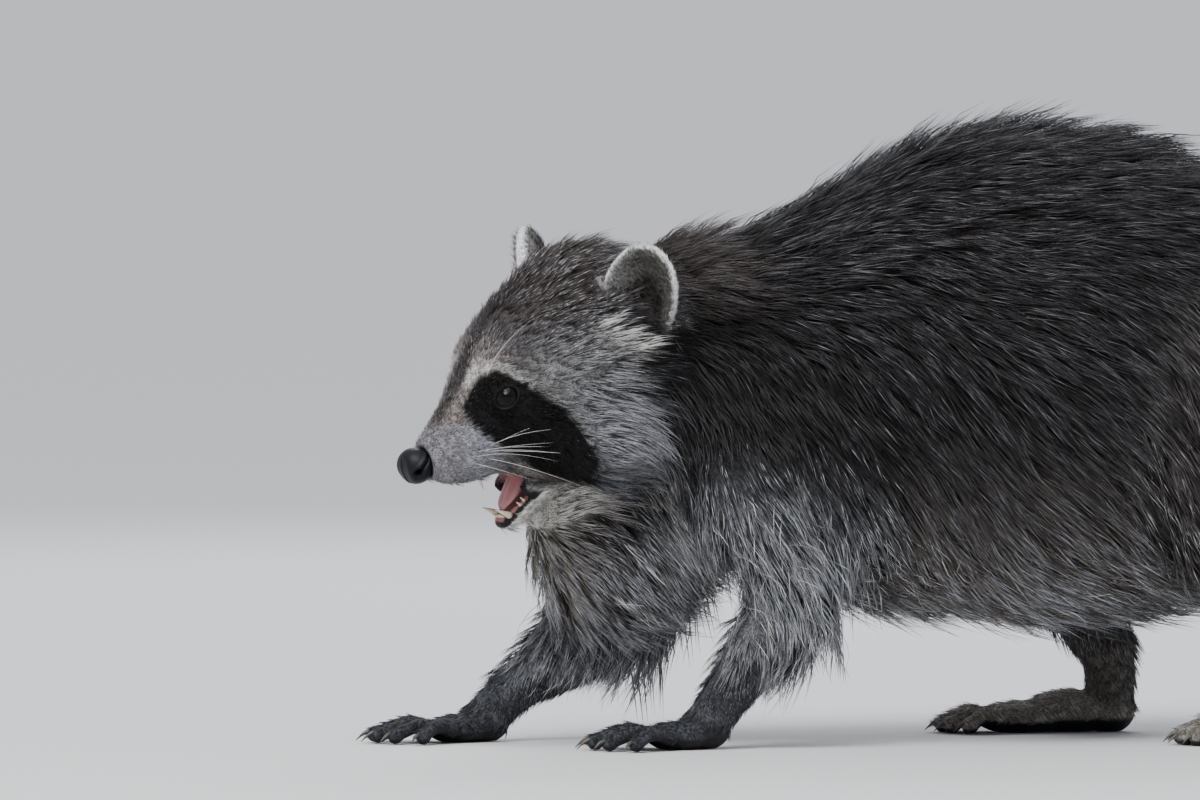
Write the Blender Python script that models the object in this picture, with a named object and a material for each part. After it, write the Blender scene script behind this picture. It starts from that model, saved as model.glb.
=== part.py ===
"""A raccoon, life-size and still: it creeps forward with its head low and its mouth open.

The animal faces -X and its right side is towards +Y. Everything is in metres, with +Z up and the floor at zero.
Trunk, head, legs and tail are lofts of the coat's own outline, melted into one body. That body is then parted with
thin cuts into the parts that a person would name. Ears, eyes, nose, jaw, tongue and paws are shaped on their own.
"""

import math

import bmesh
import bpy
import numpy as np
from mathutils import Matrix, Vector

# ---------------------------------------------------------------- driving sizes
GAP = 0.0003  # air between two parts that meet
SLIVER = 0.00004  # points closer than this are one
ON_PLANE = 0.000001  # points closer than this to a cutting plane lie in it
BODY_VOXEL = 0.0034  # grain of the melted body
BODY_TRIANGLES = 2180
PAW_VOXEL = 0.0011
PAW_TRIANGLES = 210

NOSE_TIP = Vector((-0.1020, -0.0300, 0.1290))
HEAD_YAW, HEAD_PITCH, HEAD_ROLL = 13.0, -18.0, 4.0  # degrees: the nose points down and to the animal's left

# Places on the head are in head axes: back from the nose tip, to the right, up.
EYE_PLACE, EYE_RADIUS = (0.0510, 0.0208, 0.0166), 0.0068
SOCKET_SHIFT, SOCKET_RADIUS = Vector((-0.0041, 0.0060, 0.0016)), 0.0078  # the dish that the eye looks out of
NOSE_PLACE, NOSE_RADII = (0.0080, 0.0, -0.0035), (0.0080, 0.0092, 0.0082)
EAR_BASE, EAR_TIP = Vector((0.1085, 0.0430, 0.0280)), Vector((0.1210, 0.0585, 0.0695))
EAR_OPENING = Vector((-0.70, 0.68, 0.12))  # which way the right ear faces
EAR_HALF_WIDTH, EAR_DEPTH, EAR_WALL = 0.0185, 0.0085, 0.0045
HEAD_END_CENTRE, HEAD_END_RADII = (0.055, 0.0, 0.030), (0.088, 0.090, 0.085)  # where the head node meets the neck
JAW_TIP, JAW_DROP = (0.0400, 0.0, -0.0415), -36.0  # the jaw's drop is in degrees below the head's own line

NECK_END, CHEST_END, LOIN_END, RUMP_END = 0.066, 0.150, 0.262, 0.374  # cuts across the trunk, along X
TAIL_CUTS = (0.440, 0.500, 0.560)
CLAW_LENGTH, CLAW_RADIUS = 0.0085, 0.0013

COATS = {
    # first word of the name: colour, roughness
    "head": ((0.32, 0.30, 0.28), 0.85),
    "neck": ((0.26, 0.24, 0.21), 0.85),
    "chest": ((0.16, 0.15, 0.14), 0.85),
    "loin": ((0.10, 0.095, 0.09), 0.85),
    "rump": ((0.10, 0.095, 0.09), 0.85),
    "tail": ((0.20, 0.18, 0.16), 0.85),
    "foreleg": ((0.20, 0.195, 0.19), 0.85),
    "hindleg": ((0.14, 0.13, 0.125), 0.85),
    "forepaw": ((0.05, 0.05, 0.055), 0.70),
    "hindpaw": ((0.30, 0.28, 0.26), 0.70),
    "ear": ((0.60, 0.58, 0.54), 0.80),
    "eye": ((0.012, 0.008, 0.006), 0.08),
    "nose": ((0.012, 0.013, 0.016), 0.35),
    "lower": ((0.35, 0.32, 0.29), 0.60),
    "tongue": ((0.55, 0.22, 0.22), 0.35),
}


# ---------------------------------------------------------------- small tools
def clear_scene():
    for obj in list(bpy.data.objects):
        bpy.data.objects.remove(obj, do_unlink=True)


def finish(name, colour, roughness):
    made = bpy.data.materials.new(name)
    made.use_nodes = True
    shader = made.node_tree.nodes["Principled BSDF"]
    shader.inputs["Base Color"].default_value = (*colour, 1.0)
    shader.inputs["Roughness"].default_value = roughness
    shader.inputs["Metallic"].default_value = 0.0
    made.diffuse_color = (*colour, 1.0)
    return made


def link(name, mesh):
    obj = bpy.data.objects.new(name, mesh)
    bpy.context.scene.collection.objects.link(obj)
    return obj


def from_bmesh(name, bm):
    bmesh.ops.recalc_face_normals(bm, faces=bm.faces)
    mesh = bpy.data.meshes.new(name)
    bm.to_mesh(mesh)
    bm.free()
    return link(name, mesh)


def drop(*objects):
    for obj in objects:
        bpy.data.objects.remove(obj, do_unlink=True)


def bake(obj):
    """Gives obj the mesh that its modifiers make, and takes the modifiers off."""
    graph = bpy.context.evaluated_depsgraph_get()
    mesh = bpy.data.meshes.new_from_object(obj.evaluated_get(graph))
    obj.modifiers.clear()
    obj.data = mesh
    return obj


def boolean(obj, other, operation):
    step = obj.modifiers.new(operation.lower(), "BOOLEAN")
    step.operation = operation
    step.solver = "EXACT"
    step.object = other
    bake(obj)
    return weld(obj)


def weld(obj):
    """Closes up the slivers that a cut leaves."""
    bm = bmesh.new()
    bm.from_mesh(obj.data)
    bmesh.ops.remove_doubles(bm, verts=bm.verts, dist=SLIVER)
    bmesh.ops.dissolve_degenerate(bm, dist=SLIVER / 4, edges=bm.edges)
    bm.to_mesh(obj.data)
    bm.free()
    return obj


def swollen(obj, amount):
    """A copy of obj with its surface moved out by amount, to cut a neighbour with."""
    cutter = link(obj.name + "_cutter", obj.data.copy())
    step = cutter.modifiers.new("swell", "DISPLACE")
    step.strength = amount
    step.mid_level = 0.0
    return bake(cutter)


def cut_clear(obj, neighbour):
    """Cuts obj back until it clears its neighbour by the gap."""
    cutter = swollen(neighbour, GAP)
    boolean(obj, cutter, "DIFFERENCE")
    drop(cutter)
    return largest_piece(obj)


def join_into(obj, *pieces):
    for piece in pieces:
        boolean(obj, piece, "UNION")
    drop(*pieces)
    return obj


def largest_piece(obj):
    """Keeps the biggest loose piece of obj, so that no crumb of a cut stays with it."""
    bm = bmesh.new()
    bm.from_mesh(obj.data)
    left, islands = set(bm.verts), []
    while left:
        stack, island = [left.pop()], []
        while stack:
            vert = stack.pop()
            island.append(vert)
            for edge in vert.link_edges:
                other = edge.other_vert(vert)
                if other in left:
                    left.discard(other)
                    stack.append(other)
        islands.append(island)
    islands.sort(key=len, reverse=True)
    bmesh.ops.delete(bm, geom=[vert for island in islands[1:] for vert in island], context="VERTS")
    bm.to_mesh(obj.data)
    bm.free()
    return obj


def smooth_rows(rows, per_span):
    """Rows of numbers along a Catmull-Rom curve through the given rows."""
    rows = np.asarray(rows, float)
    ends = np.vstack([2 * rows[0] - rows[1], rows, 2 * rows[-1] - rows[-2]])
    made = []
    for a, b, c, d in zip(ends, ends[1:], ends[2:], ends[3:]):
        for s in np.linspace(0, 1, per_span, endpoint=False):
            bend = (2 * a - 5 * b + 4 * c - d) * s**2 + (3 * b - a - 3 * c + d) * s**3
            made.append(0.5 * (2 * b + (c - a) * s + bend))
    made.append(rows[-1])
    return np.array(made)


def skin_rings(name, rings):
    """A closed solid through rings of equal count, with a flat cap at each end."""
    bm = bmesh.new()
    loops = [[bm.verts.new(point) for point in ring] for ring in rings]
    count = len(loops[0])
    for near, far in zip(loops, loops[1:]):
        for i in range(count):
            j = (i + 1) % count
            bm.faces.new((near[i], near[j], far[j], far[i]))
    bm.faces.new(loops[0])
    bm.faces.new(loops[-1])
    bmesh.ops.triangulate(bm, faces=bm.faces)
    return from_bmesh(name, bm)


def upright_loft(name, stations, place=Matrix.Identity(4), sides=32, per_span=4):
    """A loft along X. A station is (x, y, top, bottom, half width, taper), where taper narrows the upper half."""
    rings = []
    for x, y, top, bottom, half_width, taper in smooth_rows(stations, per_span):
        middle, half_height = (top + bottom) / 2, (top - bottom) / 2
        ring = []
        for i in range(sides):
            angle = 2 * math.pi * i / sides
            narrow = 1 - taper * max(0.0, math.sin(angle)) ** 1.5
            across = half_width * narrow * math.cos(angle)
            ring.append(place @ Vector((x, y + across, middle + half_height * math.sin(angle))))
        rings.append(ring)
    return skin_rings(name, rings)


def limb_loft(name, stations, place=Matrix.Identity(4), sides=20, per_span=4):
    """A loft along a path. A station is (x, y, z, half width across the body, half depth fore and aft)."""
    rows = smooth_rows(stations, per_span)
    rings = []
    for i, (x, y, z, half_width, half_depth) in enumerate(rows):
        ahead, behind = rows[min(i + 1, len(rows) - 1)][:3], rows[max(i - 1, 0)][:3]
        along = Vector(ahead - behind).normalized()
        side = (Vector((0, 1, 0)) - along * along.y).normalized()
        depth = along.cross(side)
        ring = []
        for k in range(sides):
            angle = 2 * math.pi * k / sides
            offset = side * half_width * math.cos(angle) + depth * half_depth * math.sin(angle)
            ring.append(place @ (Vector((x, y, z)) + offset))
        rings.append(ring)
    return skin_rings(name, rings)


def ellipsoid(name, centre, radii, place=Matrix.Identity(4), turn=Matrix.Identity(4), segments=24):
    bm = bmesh.new()
    shape = place @ Matrix.Translation(centre) @ turn @ Matrix.Diagonal((*radii, 1.0))
    bmesh.ops.create_uvsphere(bm, u_segments=segments, v_segments=segments // 2, radius=1.0, matrix=shape)
    return from_bmesh(name, bm)


def melt(name, pieces, voxel, smooth_steps, triangles):
    """Joins the pieces into one smooth closed body of about that many triangles."""
    bm = bmesh.new()
    for piece in pieces:
        bm.from_mesh(piece.data)
    melted = from_bmesh(name, bm)
    drop(*pieces)
    remesh = melted.modifiers.new("melt", "REMESH")
    remesh.mode = "VOXEL"
    remesh.voxel_size = voxel
    bake(melted)
    soften = melted.modifiers.new("soften", "SMOOTH")
    soften.factor = 0.5
    soften.iterations = smooth_steps
    bake(melted)
    thin = melted.modifiers.new("thin", "DECIMATE")
    thin.ratio = min(1.0, triangles / (2 * len(melted.data.polygons)))
    return bake(melted)


def keep_side(obj, origin, normal):
    """Keeps the side of the plane that the normal points to, and closes the cut with a flat face."""
    bm = bmesh.new()
    bm.from_mesh(obj.data)
    geometry = [*bm.verts, *bm.edges, *bm.faces]
    bmesh.ops.bisect_plane(bm, geom=geometry, dist=ON_PLANE, plane_co=origin, plane_no=normal, clear_inner=True)
    bmesh.ops.remove_doubles(bm, verts=bm.verts, dist=SLIVER)
    bmesh.ops.holes_fill(bm, edges=[edge for edge in bm.edges if edge.is_boundary], sides=0)
    bmesh.ops.recalc_face_normals(bm, faces=bm.faces)
    bm.to_mesh(obj.data)
    bm.free()
    return largest_piece(obj)


def part_by_plane(obj, origin, normal, near_name, far_name):
    """Parts obj at a plane. far_name is the side that the normal points to, and a gap is left between the two."""
    normal = Vector(normal).normalized()
    origin = Vector(origin)
    far = link(far_name, obj.data.copy())
    keep_side(far, origin + normal * GAP / 2, normal)
    keep_side(obj, origin - normal * GAP / 2, -normal)
    obj.name = near_name
    return obj, far


def part_by_solid(obj, solid, inner_name):
    """Takes what lies inside solid off obj as a piece of its own, and leaves a gap between the two."""
    inner = link(inner_name, obj.data.copy())
    boolean(inner, solid, "INTERSECT")
    cutter = swollen(solid, GAP)
    boolean(obj, cutter, "DIFFERENCE")
    drop(cutter, solid)
    return largest_piece(obj), largest_piece(inner)


# ---------------------------------------------------------------- head
HEAD = (
    Matrix.Translation(NOSE_TIP)
    @ Matrix.Rotation(math.radians(HEAD_YAW), 4, "Z")
    @ Matrix.Rotation(math.radians(HEAD_PITCH), 4, "Y")
    @ Matrix.Rotation(math.radians(HEAD_ROLL), 4, "X")
)
JAW = HEAD @ Matrix.Translation(JAW_TIP) @ Matrix.Rotation(math.radians(JAW_DROP), 4, "Y")


def mirrored(place, side):
    """A place on the right side of the head, or the same place on its left."""
    return Vector((place[0], side * place[1], place[2]))


def head_masses():
    """Muzzle to nape, whisker pads, brows and cheeks."""
    stations = (
        # x, y, top, bottom, half width, taper
        (0.0060, 0.0, 0.0040, -0.0115, 0.0088, 0.05),
        (0.0140, 0.0, 0.0092, -0.0145, 0.0122, 0.10),
        (0.0240, 0.0, 0.0158, -0.0178, 0.0150, 0.15),
        (0.0340, 0.0, 0.0245, -0.0210, 0.0182, 0.20),
        (0.0440, 0.0, 0.0355, -0.0240, 0.0240, 0.18),
        (0.0560, 0.0, 0.0475, -0.0285, 0.0335, 0.18),
        (0.0700, 0.0, 0.0580, -0.0360, 0.0450, 0.20),
        (0.0860, 0.0, 0.0655, -0.0440, 0.0560, 0.24),
        (0.1040, 0.0, 0.0705, -0.0490, 0.0630, 0.28),
        (0.1220, 0.0, 0.0690, -0.0490, 0.0625, 0.28),
        (0.1420, 0.0, 0.0630, -0.0450, 0.0560, 0.24),
        (0.1620, 0.0, 0.0560, -0.0400, 0.0490, 0.20),
    )
    pieces = [upright_loft("head_loft", stations, place=HEAD, sides=36)]
    for side in (-1, 1):
        pieces.append(ellipsoid("whisker_pad", (0.0265, side * 0.0080, -0.0105), (0.0170, 0.0105, 0.0078), HEAD))
        pieces.append(ellipsoid("brow", (0.0620, side * 0.0175, 0.0295), (0.0160, 0.0125, 0.0125), HEAD))
        pieces.append(ellipsoid("cheek", (0.0950, side * 0.0360, -0.0140), (0.0350, 0.0260, 0.0290), HEAD))
    return pieces


def tooth(name, place, base, tip, radius):
    """A pointed tooth from base to tip, both in the axes of place."""
    base, tip = Vector(base), Vector(tip)
    turn = (tip - base).to_track_quat("Z", "Y").to_matrix().to_4x4()
    bm = bmesh.new()
    length = (tip - base).length
    shape = place @ Matrix.Translation((base + tip) / 2) @ turn
    bmesh.ops.create_cone(
        bm, cap_ends=True, segments=4, radius1=radius, radius2=radius * 0.2, depth=length, matrix=shape
    )
    return from_bmesh(name, bm)


def upper_canines():
    return [
        tooth("upper_canine", HEAD, (0.0350, side * 0.0090, -0.0130), (0.0335, side * 0.0098, -0.0250), 0.0022)
        for side in (-1, 1)
    ]


def lower_teeth():
    """Canines at the front of the jaw, in jaw axes, and a low cheek tooth behind them on each side."""
    teeth = []
    for side in (-1, 1):
        canine_root, canine_tip = (0.0050, side * 0.0052, -0.0010), (0.0030, side * 0.0064, 0.0078)
        cheek_root, cheek_tip = (0.0185, side * 0.0088, -0.0010), (0.0185, side * 0.0088, 0.0048)
        teeth.append(tooth("lower_canine", JAW, canine_root, canine_tip, 0.0019))
        teeth.append(tooth("cheek_tooth", JAW, cheek_root, cheek_tip, 0.0030))
    return teeth


def lower_jaw(body):
    """The dropped jaw, in jaw axes: back from the chin along the line of the lip."""
    stations = (
        # x, y, top, bottom, half width, taper
        (-0.0010, 0.0, -0.0010, -0.0050, 0.0035, 0.0),
        (0.0030, 0.0, 0.0008, -0.0085, 0.0072, 0.0),
        (0.0110, 0.0, 0.0012, -0.0110, 0.0098, 0.0),
        (0.0210, 0.0, 0.0010, -0.0130, 0.0125, 0.0),
        (0.0320, 0.0, 0.0005, -0.0160, 0.0155, 0.0),
        (0.0450, 0.0, 0.0000, -0.0200, 0.0180, 0.0),
    )
    jaw = upright_loft("lower_jaw", stations, place=JAW, sides=12, per_span=2)
    join_into(jaw, *lower_teeth())
    return cut_clear(jaw, body)


def tongue(body, jaw):
    stations = (
        # x, y, top, bottom, half width, taper
        (0.0075, 0.0, 0.0030, 0.0008, 0.0035, 0.0),
        (0.0110, 0.0, 0.0045, 0.0000, 0.0055, 0.0),
        (0.0180, 0.0, 0.0062, -0.0010, 0.0062, 0.0),
        (0.0270, 0.0, 0.0075, -0.0010, 0.0068, 0.0),
        (0.0340, 0.0, 0.0080, -0.0010, 0.0070, 0.0),
    )
    made = upright_loft("tongue", stations, place=JAW, sides=10, per_span=1)
    cut_clear(made, jaw)
    return cut_clear(made, body)


def ear(side, body):
    """A rounded cup, open towards its own side and forwards. side is 1 for the right ear."""
    base, tip, opening = (mirrored(place, side) for place in (EAR_BASE, EAR_TIP, EAR_OPENING))
    up = (tip - base).normalized()
    facing = (opening - up * opening.dot(up)).normalized()
    across = up.cross(facing)
    turn = Matrix((facing, across, up)).transposed().to_4x4()
    height = (tip - base).length
    centre = base + up * height * 0.42
    name = "ear_right" if side > 0 else "ear_left"
    outer = ellipsoid(name, centre, (EAR_DEPTH, EAR_HALF_WIDTH, height * 0.58), HEAD, turn, segments=14)
    hollow_centre = centre + facing * EAR_DEPTH * 0.85
    hollow_radii = (EAR_DEPTH, EAR_HALF_WIDTH - EAR_WALL, height * 0.58 - EAR_WALL)
    hollow = ellipsoid("ear_hollow", hollow_centre, hollow_radii, HEAD, turn, segments=12)
    boolean(outer, hollow, "DIFFERENCE")
    drop(hollow)
    return cut_clear(outer, body)


# ---------------------------------------------------------------- trunk, legs and tail
def trunk_masses():
    """Breast to rump, from the outline of a well-fed animal in its autumn coat."""
    stations = (
        # x, y, top, bottom, half width, taper
        (-0.010, -0.002, 0.215, 0.110, 0.044, 0.10),
        (0.030, 0.000, 0.238, 0.090, 0.062, 0.15),
        (0.062, 0.000, 0.243, 0.076, 0.072, 0.20),
        (0.095, 0.000, 0.256, 0.064, 0.081, 0.24),
        (0.140, 0.000, 0.281, 0.055, 0.091, 0.28),
        (0.190, 0.000, 0.292, 0.050, 0.099, 0.28),
        (0.240, 0.000, 0.289, 0.049, 0.102, 0.26),
        (0.285, 0.000, 0.274, 0.056, 0.098, 0.22),
        (0.325, 0.000, 0.248, 0.078, 0.085, 0.16),
        (0.360, 0.000, 0.213, 0.105, 0.063, 0.10),
        (0.392, 0.000, 0.178, 0.130, 0.030, 0.00),
    )
    return [
        upright_loft("trunk_loft", stations, sides=40),
        ellipsoid("breast", (0.013, 0.007, 0.095), (0.053, 0.046, 0.050)),
        ellipsoid("throat", (0.004, -0.004, 0.140), (0.040, 0.042, 0.042)),
        ellipsoid("nape", (0.045, -0.002, 0.190), (0.055, 0.052, 0.048)),
    ]


# Each leg from its root inside the trunk down to wrist or heel: x, y, z, half width, half depth.
LEGS = {
    "foreleg_left": (
        (0.056, -0.036, 0.158, 0.030, 0.044),
        (0.062, -0.048, 0.122, 0.032, 0.042),
        (0.072, -0.052, 0.088, 0.027, 0.034),
        (0.073, -0.051, 0.064, 0.022, 0.027),
        (0.060, -0.049, 0.044, 0.0185, 0.0210),
        (0.048, -0.048, 0.026, 0.0155, 0.0165),
        (0.042, -0.048, 0.013, 0.0140, 0.0135),
    ),
    "foreleg_right": (
        (0.056, 0.036, 0.158, 0.030, 0.044),
        (0.046, 0.048, 0.122, 0.032, 0.043),
        (0.034, 0.051, 0.086, 0.029, 0.036),
        (0.020, 0.049, 0.060, 0.0255, 0.0300),
        (-0.006, 0.047, 0.039, 0.0215, 0.0245),
        (-0.028, 0.046, 0.024, 0.0160, 0.0165),
        (-0.044, 0.045, 0.014, 0.0140, 0.0115),
    ),
    "hindleg_left": (
        (0.298, -0.048, 0.190, 0.040, 0.058),
        (0.286, -0.060, 0.145, 0.038, 0.060),
        (0.283, -0.066, 0.106, 0.033, 0.047),
        (0.300, -0.066, 0.074, 0.025, 0.032),
        (0.324, -0.064, 0.047, 0.0185, 0.0220),
        (0.338, -0.063, 0.026, 0.0155, 0.0165),
        (0.338, -0.063, 0.012, 0.0145, 0.0150),
    ),
    "hindleg_right": (
        (0.298, 0.048, 0.190, 0.040, 0.058),
        (0.266, 0.060, 0.150, 0.038, 0.058),
        (0.236, 0.066, 0.114, 0.033, 0.046),
        (0.236, 0.066, 0.084, 0.026, 0.034),
        (0.252, 0.064, 0.056, 0.0195, 0.0230),
        (0.264, 0.063, 0.032, 0.0160, 0.0170),
        (0.266, 0.063, 0.013, 0.0145, 0.0150),
    ),
}

TAIL = (
    # x, y, z, half width, half depth
    (0.350, 0.000, 0.165, 0.028, 0.028),
    (0.390, 0.002, 0.150, 0.026, 0.026),
    (0.430, 0.008, 0.124, 0.031, 0.031),
    (0.475, 0.018, 0.093, 0.034, 0.034),
    (0.520, 0.030, 0.068, 0.034, 0.034),
    (0.565, 0.044, 0.053, 0.031, 0.031),
    (0.603, 0.057, 0.047, 0.025, 0.025),
    (0.626, 0.065, 0.046, 0.015, 0.015),
    (0.634, 0.068, 0.046, 0.004, 0.004),
)


def leg_cutter(name, rows, inward=0.006, outward=0.060, fore_and_aft=0.008, spread=0.004, sides=8):
    """A solid of level rings that holds a leg with room to spare and passes out through the flank."""
    out = math.copysign(1, rows[0][1])
    shift, widen = (outward - inward) / 2, (outward + inward) / 2
    levels = []
    for i, (x, y, z, width, depth) in enumerate(rows):
        above, below = Vector(rows[max(i - 1, 0)][:3]), Vector(rows[min(i + 1, len(rows) - 1)][:3])
        slant = abs((above - below).normalized().z)
        levels.append((x, y + out * shift, z, width + widen, depth / slant + fore_and_aft + i * spread))
    x, y, z, width, depth = levels[0]
    levels = [(x, y, z + 0.030, width, depth * 0.45), (x, y, z + 0.020, width, depth * 0.8), *levels]
    x, y, z, width, depth = levels[-1]
    levels.append((x, y, z - 0.03, width, depth))
    rings = []
    for x, y, z, width, depth in levels:
        turns = [2 * math.pi * (i + 0.5) / sides for i in range(sides)]
        rings.append([Vector((x + depth * math.cos(turn), y + width * math.sin(turn), z)) for turn in turns])
    return skin_rings(name, rings)


# ---------------------------------------------------------------- paws
def digit(place, start, end, radius, droop):
    """One toe from knuckle to tip, arched, and the claw at its end."""
    start, end = Vector(start), Vector(end)
    middle = (start + end) / 2 + Vector((0, 0, droop))
    rows = [(*point, size, size) for point, size in ((start, radius), (middle, radius), (end, radius * 0.85))]
    toe = limb_loft("toe", rows, place, sides=10, per_span=3)
    pad = ellipsoid("toe_pad", end, (radius * 1.05,) * 3, place, segments=10)
    return [toe, pad]


def claw(place, start, end):
    """A claw that runs on from its toe and dips towards the floor."""
    start, end = Vector(start), Vector(end)
    forward = (end - start).normalized()
    root = end + forward * 0.002 + Vector((0, 0, 0.0012))
    tip = root + forward * CLAW_LENGTH * 0.8 - Vector((0, 0, 0.0042))
    return tooth("claw", place, root - forward * 0.003, tip, CLAW_RADIUS)


def paw(name, place, sole, digits, radius, arch):
    """A paw: its sole masses and digits melted together, claws added, and flats cut at the floor."""
    pieces = [ellipsoid("sole", centre, radii, place, segments=16) for centre, radii in sole]
    for start, end in digits:
        pieces += digit(place, start, end, radius, arch)
    made = melt(name, pieces, PAW_VOXEL, 2, PAW_TRIANGLES)
    join_into(made, *[claw(place, start, end) for start, end in digits])
    return keep_side(made, (0, 0, 0), (0, 0, 1))


def fore_digits(side):
    """Five slim fingers, spread. The first is the short inner one; side is 1 on a right paw."""
    spread = (-28, -13, -1, 11, 26)
    length = (0.022, 0.030, 0.033, 0.031, 0.024)
    rows = []
    for turn, reach in zip(spread, length):
        angle = math.radians(turn)
        knuckle = Vector((-0.013, side * 0.0105 * turn / 26, 0.0050))
        out = Vector((-math.cos(angle), side * math.sin(angle), 0))
        rows.append((knuckle, knuckle + out * reach + Vector((0, 0, -0.0016))))
    return rows


def hind_digits(side):
    """Five toes at the end of the long sole."""
    spread = (-20, -9, 0, 9, 20)
    length = (0.018, 0.024, 0.026, 0.024, 0.018)
    rows = []
    for turn, reach in zip(spread, length):
        angle = math.radians(turn)
        knuckle = Vector((-0.052, side * 0.0125 * turn / 20, 0.0056))
        out = Vector((-math.cos(angle), side * math.sin(angle), 0))
        rows.append((knuckle, knuckle + out * reach + Vector((0, 0, -0.0020))))
    return rows


def fore_paw(name, x, y, turn, side, leg):
    """A forepaw whose wrist is over (x, y), turned by some degrees, with the palm on the floor."""
    place = Matrix.Translation((x, y, 0)) @ Matrix.Rotation(math.radians(turn), 4, "Z")
    sole = (
        ((-0.006, 0, 0.0060), (0.0165, 0.0135, 0.0078)),
        ((0.006, 0, 0.0085), (0.0130, 0.0118, 0.0100)),
    )
    made = paw(name, place, sole, fore_digits(side), 0.0042, 0.0032)
    return cut_clear(made, leg)


def hind_paw(name, x, y, turn, side, leg):
    """A hind paw with its heel over (x, y) and its whole sole on the floor."""
    place = Matrix.Translation((x, y, 0)) @ Matrix.Rotation(math.radians(turn), 4, "Z")
    sole = (
        ((-0.040, 0, 0.0068), (0.0240, 0.0155, 0.0090)),
        ((-0.018, 0, 0.0095), (0.0240, 0.0140, 0.0115)),
        ((0.000, 0, 0.0100), (0.0140, 0.0130, 0.0120)),
    )
    made = paw(name, place, sole, hind_digits(side), 0.0047, 0.0030)
    return cut_clear(made, leg)


# ---------------------------------------------------------------- assembly
def build_body():
    """The whole coat as one solid, without its paws."""
    pieces = head_masses() + trunk_masses()
    pieces += [limb_loft(name, rows) for name, rows in LEGS.items()]
    pieces.append(limb_loft("tail_loft", TAIL))
    return melt("body", pieces, BODY_VOXEL, 8, BODY_TRIANGLES)


def set_eye(side, body):
    name = "eye_right" if side > 0 else "eye_left"
    socket_place = mirrored(Vector(EYE_PLACE) + SOCKET_SHIFT, side)
    socket = ellipsoid("socket", socket_place, (SOCKET_RADIUS,) * 3, HEAD, segments=12)
    boolean(body, socket, "DIFFERENCE")
    drop(socket)
    eye = ellipsoid(name, mirrored(EYE_PLACE, side), (EYE_RADIUS,) * 3, HEAD, segments=12)
    cutter = swollen(eye, GAP)
    boolean(body, cutter, "DIFFERENCE")
    drop(cutter)
    return eye


def set_nose(body):
    nose = ellipsoid("nose", NOSE_PLACE, NOSE_RADII, HEAD, segments=12)
    cutter = swollen(nose, GAP)
    boolean(body, cutter, "DIFFERENCE")
    drop(cutter)
    return nose


def part_leg(body, name):
    """Takes one leg off the body and parts it at elbow or knee."""
    rows = LEGS[name]
    body, leg = part_by_solid(body, leg_cutter(name + "_cut", rows), name)
    joint = Vector(rows[3][:3])
    along = Vector(rows[3][:3]) - Vector(rows[2][:3])
    return part_by_plane(leg, joint, along, name + "_upper", name + "_lower")


def part_trunk(body):
    """Head, neck, chest, loin, rump and the lengths of the tail."""
    solid = ellipsoid("head_end", HEAD_END_CENTRE, HEAD_END_RADII, HEAD, segments=16)
    body, head = part_by_solid(body, solid, "head")
    cuts = (
        (NECK_END, (1.0, 0.0, 0.25), "neck"),
        (CHEST_END, (1.0, 0.0, 0.0), "chest"),
        (LOIN_END, (1.0, 0.0, 0.0), "loin"),
        (RUMP_END, (1.0, 0.0, -0.45), "rump"),
    )
    made = [head]
    rest = body
    for x, normal, name in cuts:
        origin = (x, 0, 0.155)
        done, rest = part_by_plane(rest, origin, normal, name, "rest")
        made.append(done)
    for number, x in enumerate(TAIL_CUTS, 1):
        rows = smooth_rows(TAIL, 8)
        at = int(np.argmin(abs(rows[:, 0] - x)))
        along = rows[at + 1][:3] - rows[at - 1][:3]
        done, rest = part_by_plane(rest, rows[at][:3], along, f"tail_{number}", "rest")
        made.append(done)
    rest.name = f"tail_{len(TAIL_CUTS) + 1}"
    return made + [rest]


def set_on_origin(objects):
    """Moves the animal so that the middle of its box stands on the origin."""
    corners = np.array([vert.co[:] for obj in objects for vert in obj.data.vertices])
    low, high = corners.min(axis=0), corners.max(axis=0)
    shift = Matrix.Translation((-(low[0] + high[0]) / 2, -(low[1] + high[1]) / 2, -low[2]))
    for obj in objects:
        obj.data.transform(shift)


def colour(objects):
    for obj in objects:
        tint, roughness = COATS[obj.name.split("_")[0]]
        obj.data.materials.clear()
        obj.data.materials.append(finish(obj.name + "_coat", tint, roughness))
        obj.data.name = obj.name


def build():
    clear_scene()
    body = build_body()
    ears = [ear(side, body) for side in (-1, 1)]
    jaw = lower_jaw(body)
    tongue(body, jaw)
    for side in (-1, 1):
        set_eye(side, body)
    set_nose(body)
    paws = (
        (fore_paw, "forepaw_left", 0.030, -0.047, 6, -1),
        (fore_paw, "forepaw_right", -0.049, 0.045, 8, 1),
        (hind_paw, "hindpaw_left", 0.334, -0.063, 6, -1),
        (hind_paw, "hindpaw_right", 0.262, 0.063, -6, 1),
    )
    for make, name, x, y, turn, side in paws:
        make(name, x, y, turn, side, body)
    join_into(body, *upper_canines())
    for name in LEGS:
        part_leg(body, name)
    part_trunk(body)
    objects = list(bpy.context.scene.objects)
    set_on_origin(objects)
    colour(objects)


build()
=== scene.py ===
import math

import bmesh
import bpy
import numpy as np
from mathutils import Matrix, Vector
from mathutils.bvhtree import BVHTree


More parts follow.
